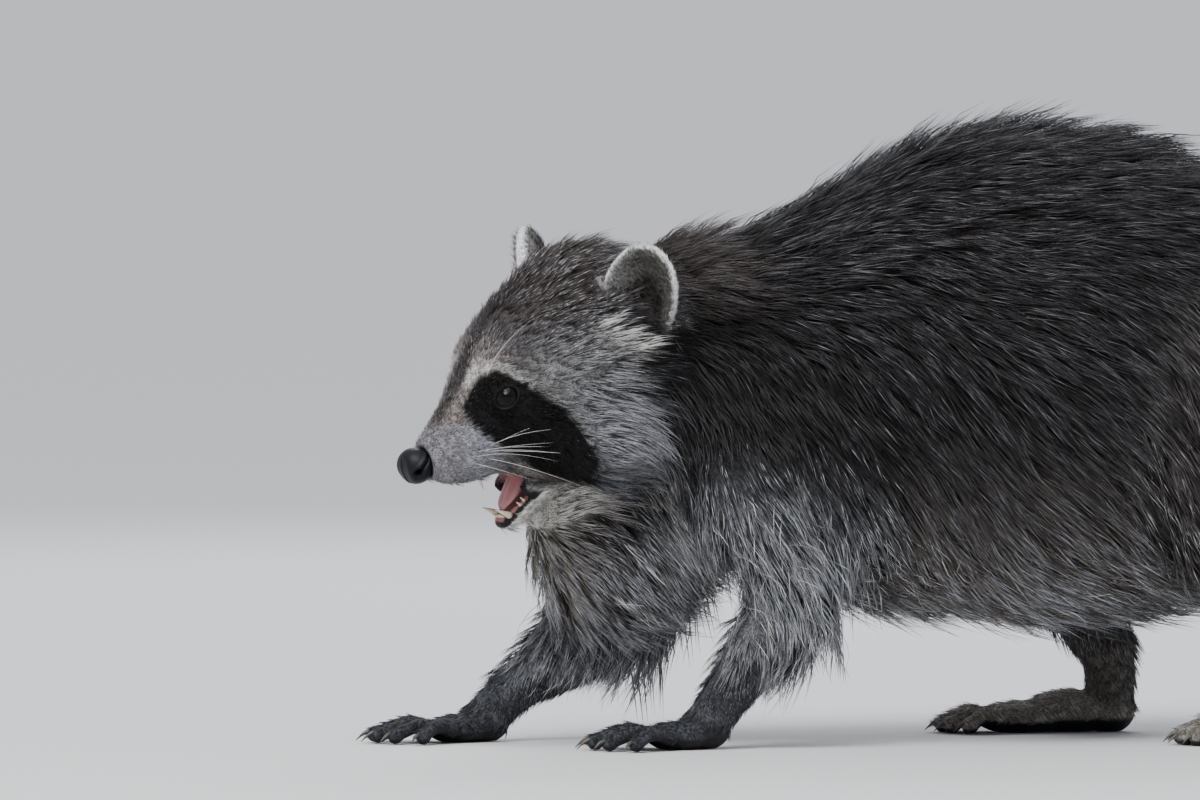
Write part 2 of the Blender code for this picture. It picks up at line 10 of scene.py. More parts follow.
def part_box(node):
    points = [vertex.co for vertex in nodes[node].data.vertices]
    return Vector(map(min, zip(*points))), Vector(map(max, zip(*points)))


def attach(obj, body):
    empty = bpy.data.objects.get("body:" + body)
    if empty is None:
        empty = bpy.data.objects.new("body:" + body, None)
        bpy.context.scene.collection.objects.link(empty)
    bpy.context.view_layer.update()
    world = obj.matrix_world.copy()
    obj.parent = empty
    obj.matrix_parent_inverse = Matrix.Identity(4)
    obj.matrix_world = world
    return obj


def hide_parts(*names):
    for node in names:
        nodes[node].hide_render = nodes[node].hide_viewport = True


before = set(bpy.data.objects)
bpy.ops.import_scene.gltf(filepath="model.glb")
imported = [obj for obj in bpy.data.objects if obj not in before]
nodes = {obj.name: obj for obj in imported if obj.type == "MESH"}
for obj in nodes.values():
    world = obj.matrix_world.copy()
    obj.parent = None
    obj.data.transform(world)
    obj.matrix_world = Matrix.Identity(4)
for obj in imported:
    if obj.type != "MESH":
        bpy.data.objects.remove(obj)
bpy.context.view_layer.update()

print("frame loaded:", len(nodes), "nodes")

# places
# The head's axes run back from the nose tip, to the animal's right, and up.
headPose = {
    "yaw": 13.0,
    "pitch": -18.0,
    "roll": 4.0,
    "noseCentre": Vector((0.0080, 0.0, -0.0035)),
    "noseTipInPlan": Vector((-0.1020, -0.0300, 0.1290)),
    "jawTip": Vector((0.0400, 0.0, -0.0415)),
    "jawDrop": -36.0,
}


def turn(degrees, axis):
    return Matrix.Rotation(math.radians(degrees), 4, axis)


def middleOf(node):
    low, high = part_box(node)
    return (low + high) / 2


headTurn = turn(headPose["yaw"], "Z") @ turn(headPose["pitch"], "Y") @ turn(headPose["roll"], "X")
head = Matrix.Translation(middleOf("nose")) @ headTurn @ Matrix.Translation(-headPose["noseCentre"])
jaw = head @ Matrix.Translation(headPose["jawTip"]) @ turn(headPose["jawDrop"], "Y")
plan = Matrix.Translation(head.translation - headPose["noseTipInPlan"])  # from the animal's plan to the frame


def mirrored(place, side):
    return Vector((place[0], side * place[1], place[2]))


# mesh helpers
def link(name, data):
    made = bpy.data.objects.new(name, data)
    bpy.context.scene.collection.objects.link(made)
    return made


def remove(*things):
    for thing in things:
        bpy.data.objects.remove(thing, do_unlink=True)


def fromBmesh(name, bm, outward=True):
    if outward:
        bmesh.ops.recalc_face_normals(bm, faces=bm.faces)
    mesh = bpy.data.meshes.new(name)
    bm.to_mesh(mesh)
    bm.free()
    return link(name, mesh)


def edited(thing, change):
    # lets change work on the thing's mesh
    bm = bmesh.new()
    bm.from_mesh(thing.data)
    change(bm)
    bm.to_mesh(thing.data)
    bm.free()
    thing.data.update()
    return thing


def joined(name, pieces):
    bm = bmesh.new()
    for piece in pieces:
        bm.from_mesh(piece.data)
    remove(*pieces)
    return fromBmesh(name, bm, outward=False)


def bake(thing):
    graph = bpy.context.evaluated_depsgraph_get()
    mesh = bpy.data.meshes.new_from_object(thing.evaluated_get(graph))
    thing.modifiers.clear()
    thing.data = mesh
    return thing


def modified(thing, kind, **settings):
    step = thing.modifiers.new("step", kind)
    for key, value in settings.items():
        setattr(step, key, value)
    return bake(thing)


def voxelled(thing, size):
    return modified(thing, "REMESH", mode="VOXEL", voxel_size=size)


def carved(thing, cutter):
    modified(thing, "BOOLEAN", operation="DIFFERENCE", solver="EXACT", object=cutter)
    remove(cutter)
    return thing


def smoothShaded(thing):
    thing.data.polygons.foreach_set("use_smooth", [True] * len(thing.data.polygons))
    return thing


def keepLargestIsland(bm):
    left, islands = set(bm.verts), []
    while left:
        stack, island = [left.pop()], []
        while stack:
            vert = stack.pop()
            island.append(vert)
            for edge in vert.link_edges:
                other = edge.other_vert(vert)
                if other in left:
                    left.discard(other)
                    stack.append(other)
        islands.append(island)
    islands.sort(key=len, reverse=True)
    bmesh.ops.delete(bm, geom=[vert for island in islands[1:] for vert in island], context="VERTS")


def readRows(things, key, width, kind):
    found = np.empty(len(things) * width, kind)
    things.foreach_get(key, found)
    return found.reshape(-1, width)


def coordsOf(mesh):
    return readRows(mesh.vertices, "co", 3, np.float32).astype(float)


def setCoords(mesh, coords):
    mesh.vertices.foreach_set("co", coords.astype(np.float32).ravel())
    mesh.update()


def normalsOf(mesh):
    return readRows(mesh.vertices, "normal", 3, np.float32).astype(float)


def edgesOf(mesh):
    return readRows(mesh.edges, "vertices", 2, np.int32)


def trianglesOf(mesh):
    return readRows(mesh.loops, "vertex_index", 1, np.int32).reshape(-1, 3)


def store(mesh, name, values, domain="POINT"):
    # whole numbers, numbers or vectors, by what the values are
    values = np.asarray(values)
    whole = values.dtype.kind == "i"
    kind = "INT" if whole else "FLOAT" if values.ndim == 1 else "FLOAT_VECTOR"
    made = mesh.attributes.new(name, kind, domain)
    values = np.ascontiguousarray(values, np.int32 if whole else np.float32)
    made.data.foreach_set("value" if values.ndim == 1 else "vector", values.ravel())


def spreadOut(field, edges, steps, share=0.6):
    # evens a value out over the mesh, edge by edge
    field = np.array(field, float)
    flat = field.reshape(len(field), -1)
    a, b = edges[:, 0], edges[:, 1]
    count = np.maximum(np.bincount(edges.ravel(), minlength=len(flat)), 1)
    for _ in range(steps):
        for k in range(flat.shape[1]):
            column = flat[:, k]
            total = np.bincount(a, weights=column[b], minlength=len(flat))
            total += np.bincount(b, weights=column[a], minlength=len(flat))
            flat[:, k] = column + share * (total / count - column)
    return flat.reshape(field.shape)


def smoothed(thing, steps):
    mesh = thing.data
    setCoords(mesh, spreadOut(coordsOf(mesh), edgesOf(mesh), steps, 0.5))
    return thing


def liftedToFloor(thing, height):
    coords = coordsOf(thing.data)
    coords[:, 2] = np.maximum(coords[:, 2], height)
    setCoords(thing.data, coords)


def unit(vectors):
    size = np.linalg.norm(vectors, axis=-1, keepdims=True)
    return vectors / np.maximum(size, 1e-9)


def inAxes(matrix, points):
    # world points in the axes of matrix
    inverse = np.array(matrix.inverted())
    return points @ inverse[:3, :3].T + inverse[:3, 3]


def toWorld(matrix, points):
    own = np.array(matrix)
    return points @ own[:3, :3].T + own[:3, 3]


def ease(value, start, end):
    # 0 before start, 1 after end, smooth between
    t = np.clip((value - start) / (end - start), 0, 1)
    return t * t * (3 - 2 * t)


def fade(value, start, end):
    # 1 before start, 0 after end
    return 1 - ease(value, start, end)


def band(value, low, high, soft):
    # 1 between low and high, fading over soft outside them
    return ease(value, low - soft, low) * fade(value, high, high + soft)


def folded(p):
    # x, size of y, z, so that both sides are treated alike
    return p[:, 0], abs(p[:, 1]), p[:, 2]


def readTable(x, *rows):
    # rows of x and value, straight lines between them
    return np.interp(x, *zip(*rows))


def smoothRows(rows, perSpan):
    # more rows along a smooth curve through the given ones
    rows = np.asarray(rows, float)
    ends = np.vstack([2 * rows[0] - rows[1], rows, 2 * rows[-1] - rows[-2]])
    made = []
    for a, b, c, d in zip(ends, ends[1:], ends[2:], ends[3:]):
        for s in np.linspace(0, 1, perSpan, endpoint=False):
            bend = (2 * a - 5 * b + 4 * c - d) * s**2 + (3 * b - a - 3 * c + d) * s**3
            made.append(0.5 * (2 * b + (c - a) * s + bend))
    made.append(rows[-1])
    return np.array(made)


def ringSolid(name, rings):
    bm = bmesh.new()
    loops = [[bm.verts.new(point) for point in ring] for ring in rings]
    count = len(loops[0])
    for near, far in zip(loops, loops[1:]):
        for i in range(count):
            j = (i + 1) % count
            bm.faces.new((near[i], near[j], far[j], far[i]))
    bm.faces.new(loops[0])
    bm.faces.new(loops[-1])
    return fromBmesh(name, bm)


def limb(name, rows, place=Matrix.Identity(4), sides=16, perSpan=4):
    # a row is x, y, z, half width, half depth
    rows = smoothRows(rows, perSpan)
    rings = []
    for i, (x, y, z, halfWidth, halfDepth) in enumerate(rows):
        ahead, behind = rows[min(i + 1, len(rows) - 1)][:3], rows[max(i - 1, 0)][:3]
        along = Vector(ahead - behind).normalized()
        side = (Vector((0, 1, 0)) - along * along.y).normalized()
        depth = along.cross(side)
        ring = []
        for k in range(sides):
            angle = 2 * math.pi * k / sides
            offset = side * halfWidth * math.cos(angle) + depth * halfDepth * math.sin(angle)
            ring.append(place @ (Vector((x, y, z)) + offset))
        rings.append(ring)
    return ringSolid(name, rings)


def loft(name, stations, place, sides=32, perSpan=4):
    # a station is x, top, bottom, half width
    turns = [2 * math.pi * i / sides for i in range(sides)]
    rings = []
    for x, top, bottom, halfWidth in smoothRows(stations, perSpan):
        middle, halfHeight = (top + bottom) / 2, (top - bottom) / 2
        rings.append([
            place @ Vector((x, halfWidth * math.cos(a), middle + halfHeight * math.sin(a))) for a in turns
        ])
    return ringSolid(name, rings)


def ellipsoid(name, centre, radii, place, around=24, across=None):
    bm = bmesh.new()
    shape = place @ Matrix.Translation(centre) @ Matrix.Diagonal((*radii, 1.0))
    bmesh.ops.create_uvsphere(bm, u_segments=around, v_segments=across or around // 2, radius=1.0, matrix=shape)
    return fromBmesh(name, bm)


def polarBall(name, place, radii, around, across):
    # an ellipsoid whose poles lie on the x axis
    return ellipsoid(name, (0, 0, 0), radii[::-1], place @ turn(90, "Y"), around, across)


# body under the coat
coatRows = (
    # node, how far the skin lies below the coat's outline, the hair's length, its rise in degrees
    ("head", 0.0040, 0.012, 20),
    ("neck", 0.0120, 0.029, 24),
    ("chest", 0.0135, 0.034, 21),
    ("loin", 0.0140, 0.035, 20),
    ("rump", 0.0140, 0.035, 21),
    ("tail_1", 0.0140, 0.028, 28),
    ("tail_2", 0.0150, 0.027, 31),
    ("tail_3", 0.0155, 0.027, 32),
    ("tail_4", 0.0150, 0.027, 30),
    ("foreleg_*_upper", 0.0100, 0.026, 20),
    ("hindleg_*_upper", 0.0110, 0.028, 20),
    ("foreleg_left_lower", 0.0052, 0.015, 20),
    ("foreleg_right_lower", 0.0060, 0.017, 20),
    ("hindleg_*_lower", 0.0050, 0.014, 20),
    ("forepaw_*", 0.0008, 0.0040, 16),
    ("hindpaw_*", 0.0008, 0.0045, 16),
    ("ear_*", 0.0010, 0.0042, 18),
    ("lower_jaw", 0.0012, 0.0050, 20),
)
coats = {}
for name, depth, length, lift in coatRows:
    for side in ("left", "right") if "*" in name else ("",):
        coats[name.replace("*", side)] = {"depth": depth, "length": length, "lift": lift}
regionNames = list(coats)
kinds = [name.split("_")[0] for name in regionNames]
fineKinds = ("head", "forepaw", "hindpaw", "ear", "lower")  # these keep a fine skin
shrunkNodes = [name for name, kind in zip(regionNames, kinds) if kind == "head" or kind not in fineKinds]

body = {
    "joinSwell": 0.0004,
    "coarseVoxel": 0.0022,
    "fineVoxel": 0.0011,
    "facetSmoothing": 10,
    "voxelSmoothing": 2,
    "shrinkSteps": 8,
    "depthSmoothing": 25,
    "tailTipStart": 0.575,  # where the tail's coat starts to thin, in the plan
    "tailTipEnd": 0.632,
    "tailTipThinning": 0.62,
    "trunkShare": 0.30,  # what is kept of the fine mesh
    "trunkWeight": 8.0,
    "skinAboveFloor": 0.0002,
}


def copyOfNodes(names, name):
    pieces = []
    for node in names:
        bm = bmesh.new()
        bm.from_mesh(nodes[node].data)
        bmesh.ops.remove_doubles(bm, verts=bm.verts, dist=0.00001)
        piece = fromBmesh(node + "Copy", bm)
        pieces.append(modified(piece, "DISPLACE", strength=body["joinSwell"], mid_level=0.0))
    return joined(name, pieces)


class NearestNode:
    # tells which CAD node each point is nearest to
    def __init__(self):
        verts, faces, self.owner = [], [], []
        for number, name in enumerate(regionNames):
            mesh = nodes[name].data
            first = len(verts)
            verts += [v.co.copy() for v in mesh.vertices]
            for polygon in mesh.polygons:
                faces.append([first + i for i in polygon.vertices])
                self.owner.append(number)
        self.tree = BVHTree.FromPolygons(verts, faces)

    def of(self, points):
        return np.array([self.owner[self.tree.find_nearest(Vector(p))[2]] for p in points])


nearest = NearestNode()


def regionWeights(mesh, steps):
    labels = nearest.of(coordsOf(mesh))
    weights = np.zeros((len(labels), len(regionNames)))
    weights[np.arange(len(labels)), labels] = 1
    used = np.unique(labels)
    weights[:, used] = spreadOut(weights[:, used], edgesOf(mesh), steps)
    return weights


def coatValues(weights, key):
    return weights @ np.array([coats[name][key] for name in regionNames])


def headDepth(points):
    # the coat is thin on the muzzle and round the eyes, and deep on cheek and nape
    x, y, z = folded(inAxes(head, points))
    depth = 0.0008 + 0.0026 * ease(x, 0.040, 0.080) + 0.0040 * ease(x, 0.100, 0.150)
    ruff = ease(x, 0.070, 0.105) * ease(y, 0.022, 0.045) * ease(-z, -0.030, 0.005)
    throat = ease(x, 0.060, 0.090) * ease(-z, 0.015, 0.035)
    return depth + 0.0080 * np.maximum(ruff, throat)


def shrinkToSkin(thing):
    mesh = thing.data
    edges = edgesOf(mesh)
    weights = regionWeights(mesh, 12)
    depth = coatValues(weights, "depth")
    onHead = weights[:, regionNames.index("head")]
    depth = depth + onHead * (headDepth(coordsOf(mesh)) - coats["head"]["depth"])
    along = inAxes(plan, coordsOf(mesh))[:, 0]
    depth = depth * (1 - body["tailTipThinning"] * ease(along, body["tailTipStart"], body["tailTipEnd"]))
    depth = spreadOut(depth, edges, body["depthSmoothing"])
    for _ in range(body["shrinkSteps"]):
        coords = coordsOf(mesh)
        outward = unit(spreadOut(normalsOf(mesh), edges, 2))
        coords -= outward * (depth / body["shrinkSteps"])[:, None]
        setCoords(mesh, spreadOut(coords, edges, 1, 0.5))


print("body under the coat")
core = voxelled(copyOfNodes(shrunkNodes, "core"), body["coarseVoxel"])
edited(core, keepLargestIsland)
smoothed(core, body["facetSmoothing"])
shrinkToSkin(core)

# paws
paws = {
    # x, y, turn, side in the plan
    "forepaw_left": (0.030, -0.047, 6, -1),
    "forepaw_right": (-0.049, 0.045, 8, 1),
    "hindpaw_left": (0.334, -0.063, 6, -1),
    "hindpaw_right": (0.262, 0.063, -6, 1),
}
foreDigits = {
    "spread": (-28, -13, -1, 11, 26),
    "reach": (0.022, 0.030, 0.033, 0.031, 0.024),
    "knuckle": (-0.013, 0.0105 / 26, 0.0052),
    "radius": 0.0037,
    "arch": 0.0036,
    "dip": 0.0014,
    "claw": 0.0085,
}
hindDigits = {
    "spread": (-20, -9, 0, 9, 20),
    "reach": (0.018, 0.024, 0.026, 0.024, 0.018),
    "knuckle": (-0.052, 0.0125 / 20, 0.0058),
    "radius": 0.0042,
    "arch": 0.0034,
    "dip": 0.0018,
    "claw": 0.0085,
}
# each sole is balls: centre, radii in the paw's axes
foreSole = (
    ((-0.006, 0, 0.0058), (0.0155, 0.0125, 0.0070)),
    ((0.006, 0, 0.0085), (0.0125, 0.0108, 0.0095)),
    ((0.0085, 0.0005, 0.0040), (0.0060, 0.0080, 0.0042)),
)
hindSole = (
    ((-0.040, 0, 0.0064), (0.0230, 0.0145, 0.0080)),
    ((-0.018, 0, 0.0092), (0.0230, 0.0130, 0.0105)),
    ((0.000, 0, 0.0095), (0.0130, 0.0120, 0.0110)),
)
toeShape = {"jointPlace": 0.55, "jointWidth": 0.92, "endWidth": 0.85, "ballWidth": 1.02, "endDrop": 0.0002}

# each wrist and heel, from inside the leg to inside the paw: x, y, z, half width, half depth in the plan
wrists = (
    (
        (0.0640, -0.0495, 0.052, 0.0125, 0.0150),
        (0.0530, -0.0485, 0.033, 0.0108, 0.0122),
        (0.0360, -0.0478, 0.0105, 0.0105, 0.0098),
    ), (
        (0.0010, 0.0475, 0.044, 0.0145, 0.0165),
        (-0.0230, 0.0462, 0.028, 0.0112, 0.0118),
        (-0.0430, 0.0452, 0.0110, 0.0105, 0.0095),
    ), (
        (0.3200, -0.0640, 0.052, 0.0125, 0.0150),
        (0.3350, -0.0632, 0.031, 0.0105, 0.0118),
        (0.3350, -0.0630, 0.0110, 0.0108, 0.0108),
    ), (
        (0.2500, 0.0640, 0.060, 0.0130, 0.0155),
        (0.2620, 0.0632, 0.036, 0.0108, 0.0120),
        (0.2630, 0.0630, 0.0110, 0.0108, 0.0108),
    ),
)


def pawPlace(name):
    x, y, degrees, side = paws[name]
    return plan @ Matrix.Translation((x, y, 0)) @ turn(degrees, "Z"), side


def digitLines(name):
    # where each toe starts and ends, in the paw's axes
    shape = foreDigits if name.startswith("fore") else hindDigits
    side = pawPlace(name)[1]
    x, perDegree, z = shape["knuckle"]
    lines = []
    for degrees, reach in zip(shape["spread"], shape["reach"]):
        angle = math.radians(degrees)
        knuckle = Vector((x, side * perDegree * degrees, z))
        out = Vector((-math.cos(angle), side * math.sin(angle), 0))
        lines.append((knuckle, knuckle + out * reach - Vector((0, 0, shape["dip"])), out))
    return lines, shape


def pawFlesh(name):
    place = pawPlace(name)[0]
    sole = foreSole if name.startswith("fore") else hindSole
    pieces = [ellipsoid("sole", centre, radii, place) for centre, radii in sole]
    lines, shape = digitLines(name)
    radius = shape["radius"]
    jointRadius, endRadius = radius * toeShape["jointWidth"], radius * toeShape["endWidth"]
    ball = (radius * toeShape["ballWidth"],) * 3
    for start, end, _ in lines:
        joint = start.lerp(end, toeShape["jointPlace"]) + Vector((0, 0, shape["arch"]))
        rows = [(*start, radius, radius), (*joint, jointRadius, jointRadius), (*end, endRadius, endRadius)]
        pieces.append(limb("toe", rows, place, sides=12))
        pieces.append(ellipsoid("toeEnd", end - Vector((0, 0, toeShape["endDrop"])), ball, place, around=16))
        pieces.append(ellipsoid("knuckle", joint, ball, place, around=16))
    return pieces


# ears and jaw
earShape = {
    "base": Vector((0.1085, 0.0430, 0.0280)),
    "tip": Vector((0.1210, 0.0585, 0.0695)),
    "opening": Vector((-0.70, 0.68, 0.12)),
    "halfWidth": 0.0172,
    "depth": 0.0078,
    "wall": 0.0027,
    "middle": 0.42,  # of the way from base to tip
    "halfHeight": 0.58,  # as a share of that way
    "endGap": 0.0012,
}


def earAxes(side):
    base, tip, opening = (mirrored(earShape[key], side) for key in ("base", "tip", "opening"))
    up = (tip - base).normalized()
    facing = (opening - up * opening.dot(up)).normalized()
    turned = Matrix((facing, up.cross(facing), up)).transposed().to_4x4()
    height = (tip - base).length
    middle = base + up * height * earShape["middle"]
    return head @ Matrix.Translation(middle) @ turned, height * earShape["halfHeight"]


def earFlesh(side):
    place, halfHeight = earAxes(side)
    depth, halfWidth, wall = earShape["depth"], earShape["halfWidth"], earShape["wall"]
    halfHeight = halfHeight - earShape["endGap"]
    outer = ellipsoid("earOuter", (0, 0, 0), (depth, halfWidth, halfHeight), place, around=32)
    room = (depth * 1.05, halfWidth - wall, halfHeight - wall)
    return carved(outer, ellipsoid("earHollow", (depth * 0.80, 0, 0.001), room, place, around=32))


def jawFlesh():
    # stations of x, top, bottom, half width in the jaw's axes
    outside = (
        (-0.0005, -0.0012, -0.0050, 0.0034),
        (0.0030, 0.0004, -0.0082, 0.0070),
        (0.0110, 0.0006, -0.0105, 0.0094),
        (0.0210, 0.0004, -0.0125, 0.0120),
        (0.0320, 0.0010, -0.0150, 0.0150),
        (0.0450, 0.0030, -0.0190, 0.0175),
        (0.0600, 0.0060, -0.0210, 0.0190),
    )
    trough = (
        (0.0032, 0.0040, -0.0010, 0.0038),
        (0.0110, 0.0060, -0.0034, 0.0066),
        (0.0210, 0.0080, -0.0046, 0.0090),
        (0.0320, 0.0100, -0.0050, 0.0112),
        (0.0400, 0.0110, -0.0040, 0.0120),
    )
    return carved(loft("jawFlesh", outside, jaw, sides=24), loft("jawTrough", trough, jaw, sides=20))


# eyes
eyeShape = {
    "place": Vector((0.0510, 0.0208, 0.0166)),
    "radius": 0.0068,
    "outward": Vector((-0.46, 0.84, 0.20)),
    "lid": 0.0009,
    "openingWide": 0.0057,
    "openingHigh": 0.0045,
    "slant": 20.0,
}


cheekShape = {"centre": (0.0600, 0.0122, -0.0292), "radii": (0.0102, 0.0024, 0.0068)}


def eyeAxes(side):
    # x looks out of the eye, y runs along the lids towards the ear, z is up
    outward = mirrored(eyeShape["outward"], side).normalized()
    back = Vector((1, 0, 0)) - outward * outward.x
    up = outward.cross(back.normalized()) * side
    up = (up if up.z > 0 else -up).normalized()
    slant = math.radians(eyeShape["slant"])
    back = (back.normalized() * math.cos(slant) + up * math.sin(slant)).normalized()
    up = outward.cross(back)
    up = up if up.z > 0 else -up
    turned = Matrix((outward, back, up)).transposed().to_4x4()
    return head @ Matrix.Translation(mirrored(eyeShape["place"], side)) @ turned


def cheekFlesh(side):
    # closes the corner of the mouth between the jaws
    return ellipsoid("cheekFlesh", mirrored(cheekShape["centre"], side), cheekShape["radii"], head)


def lidFlesh(side):
    radius = eyeShape["radius"] + eyeShape["lid"]
    return ellipsoid("lidBall", (0, 0, 0), (radius,) * 3, eyeAxes(side), around=32)


pieces = [core, jawFlesh()]
for name in paws:
    pieces += pawFlesh(name)
pieces += [limb("wrist", rows, plan) for rows in wrists]
for side in (-1, 1):
    pieces += [earFlesh(side), lidFlesh(side), cheekFlesh(side)]
skin = voxelled(joined("skin", pieces), body["fineVoxel"])
edited(skin, keepLargestIsland)
print("fine skin:", len(skin.data.polygons))


def thinTrunk(thing):
    # fine on head, ears and paws, coarse where long hair hides the skin
    mesh = thing.data
    weights = regionWeights(mesh, 4)
    fine = sum(weights[:, i] for i, kind in enumerate(kinds) if kind in fineKinds)
    places = coordsOf(mesh)
    nape = ease(inAxes(head, places)[:, 0], 0.125, 0.150) * ease(places[:, 2], 0.05, 0.08)
    fine = fine * (1 - nape)
    group = thing.vertex_groups.new(name="coarse")
    for tenths in range(1, 11):
        chosen = np.nonzero(np.round((1 - fine) * 10) == tenths)[0]
        group.add([int(i) for i in chosen], tenths / 10, "REPLACE")
    modified(
        thing, "DECIMATE", ratio=body["trunkShare"], vertex_group="coarse", vertex_group_factor=body["trunkWeight"],
    )
    thing.vertex_groups.clear()


smoothed(skin, body["voxelSmoothing"])
thinTrunk(skin)
print("thinned skin:", len(skin.data.polygons))
smoothShaded(skin)

# lids, lips and palate
face = {
    "eyeReach": 0.0105,
    "secondReach": 0.86,  # of the first, refined once more
    "lidHeight": 0.0004,  # how far the lids stand over the eyeball
    "lidSlope": 0.10,
    "rimHeight": 0.00004,
    "eyeHollow": 0.0014,  # how far the skin lies behind the eyeball's surface inside the opening
    "mouthFront": 0.0150,
    "mouthBack": 0.0600,
    "palateRise": 0.0042,
}
# back from the nose tip: half width between the upper lips, height of the lip's edge
lipWidth = ((0.012, 0.0050), (0.020, 0.0095), (0.034, 0.0125), (0.046, 0.0150), (0.060, 0.0150))
lipHeight = ((0.010, -0.0115), (0.020, -0.0165), (0.0356, -0.0221), (0.0615, -0.0286))


def refine(thing, chosen):
    # splits the faces whose points are all chosen
    inside = set(int(i) for i in np.nonzero(chosen)[0])

    def split(bm):
        edges = [e for e in bm.edges if e.verts[0].index in inside and e.verts[1].index in inside]
        bmesh.ops.subdivide_edges(bm, edges=edges, cuts=1, use_grid_fill=True)
        bmesh.ops.triangulate(bm, faces=[f for f in bm.faces if len(f.verts) > 4])

    edited(thing, split)


def smoothWhere(mesh, weight, steps):
    edges = edgesOf(mesh)
    coords = coordsOf(mesh)
    near = weight > 0
    kept = edges[near[edges[:, 0]] | near[edges[:, 1]]]
    for _ in range(steps):
        coords = coords + weight[:, None] * (spreadOut(coords, kept, 1, 1.0) - coords) * 0.6
    setCoords(mesh, coords)


def sculptEye(thing, side):
    axes = eyeAxes(side)
    mesh = thing.data
    p = inAxes(axes, coordsOf(mesh))
    away = np.hypot(p[:, 1], p[:, 2])
    socket = ease(away, 0.0062, 0.0078) * fade(away, 0.0120, 0.0170) * (p[:, 0] > -0.006) * (p[:, 0] < 0.014)
    smoothWhere(mesh, socket, 40)
    for reach in (face["eyeReach"], face["eyeReach"] * face["secondReach"]):
        p = inAxes(axes, coordsOf(mesh))
        refine(thing, (np.linalg.norm(p, axis=1) < reach) & (p[:, 0] > -0.002))
    p = inAxes(axes, coordsOf(mesh))
    radius = np.linalg.norm(p, axis=1)
    almond = np.sqrt((p[:, 1] / eyeShape["openingWide"]) ** 2 + (p[:, 2] / eyeShape["openingHigh"]) ** 2)
    front = (p[:, 0] > 0.0005) & (radius < face["eyeReach"])
    lidRadius = eyeShape["radius"] + face["lidHeight"]
    behind = eyeShape["radius"] - face["eyeHollow"]
    inside = fade(almond, 0.97, 1.06)
    lidded = np.maximum(radius, lidRadius * (1 - face["lidSlope"] * ease(almond, 1.05, 1.6)))
    rim = face["rimHeight"] * np.exp(-((almond - 1.10) / 0.10) ** 2)
    target = inside * behind + (1 - inside) * (lidded + rim)
    scale = np.where(front, target / np.maximum(radius, 1e-6), 1.0)
    setCoords(mesh, toWorld(axes, p * scale[:, None]))


def sculptMouth(thing):
    mesh = thing.data
    x, y, z = folded(inAxes(head, coordsOf(mesh)))
    refine(thing, (x > 0.006) & (x < 0.066) & (y < 0.022) & (z < 0.002) & (z > -0.034))
    p = inAxes(head, coordsOf(mesh))
    upward = (normalsOf(mesh) @ np.array(headTurn)[:3, :3])[:, 2]
    x, y, z = folded(p)
    lip = readTable(x, *lipHeight)
    front, back = face["mouthFront"], face["mouthBack"]
    along = ease(x, front - 0.003, front + 0.003) * fade(x, 0.044, back)
    underside = (upward < 0.1) & (z < lip + 0.010) & (z > lip - 0.008)
    inner = fade(y / readTable(x, *lipWidth), 0.72, 0.94)
    p[:, 2] += underside * along * inner * face["palateRise"]
    setCoords(mesh, toWorld(head, p))


for side in (-1, 1):
    sculptEye(skin, side)
sculptMouth(skin)
liftedToFloor(skin, body["skinAboveFloor"])
print("sculpted skin:", len(skin.data.vertices))
smoothShaded(skin)

# lie, length and cover of the coat
points = coordsOf(skin.data)
skinEdges = edgesOf(skin.data)
weights = regionWeights(skin.data, 10)
normals = unit(spreadOut(normalsOf(skin.data), skinEdges, 3))
upward = normals[:, 2]
inHead = inAxes(head, points)
hx, hy, hz = folded(inHead)
inJaw = inAxes(jaw, points)
inPlan = inAxes(plan, points)
height = inPlan[:, 2]
headTurnArray = np.array(headTurn)[:3, :3]


def share(*wanted):
    # how much of each point belongs to nodes of these names or first words
    return sum(weights[:, i] for i, name in enumerate(regionNames) if name in wanted or kinds[i] in wanted)


onBody, onTrunk = share("chest", "loin", "rump"), share("neck", "chest", "loin", "rump")
onNeck, onShoulders, onTail, onEars = share("neck"), share("neck", "chest"), share("tail"), share("ear")
onForelegs, onHindlegs = share("foreleg"), share("hindleg")
onLowerArms = share("foreleg_left_lower", "foreleg_right_lower")


def ripple(places, size, seed):
    # smooth waves, -1 to 1, of about that size, in three channels
    rng = np.random.default_rng(seed)
    total = np.zeros((len(places), 3))
    for _ in range(7):
        waves = rng.normal(size=(3, 3)) / size * 2.2
        total += np.sin(places @ waves + rng.uniform(0, 6.28, 3))
    return total / 3.0


def earReadings():
    # each ear's side, node and axes, the skin's points in them, and how far out in the ear each point is
    for side, name in ((-1, "ear_left"), (1, "ear_right")):
        place, halfHeight = earAxes(side)
        p = inAxes(place, points)
        reach = np.hypot(p[:, 1] / earShape["halfWidth"], p[:, 2] / halfHeight)
        yield side, name, np.array(place)[:3, :3], p, reach, np.linalg.norm(p, axis=1) < 0.05


def near(places, radius):
    # 1 at the places and 0 past the radius, on both sides of the head
    at = np.stack([hx, hy, hz], axis=1)
    gap = np.min([np.linalg.norm(at - np.array(place), axis=1) for place in places], axis=0)
    return fade(gap, radius * 0.45, radius)


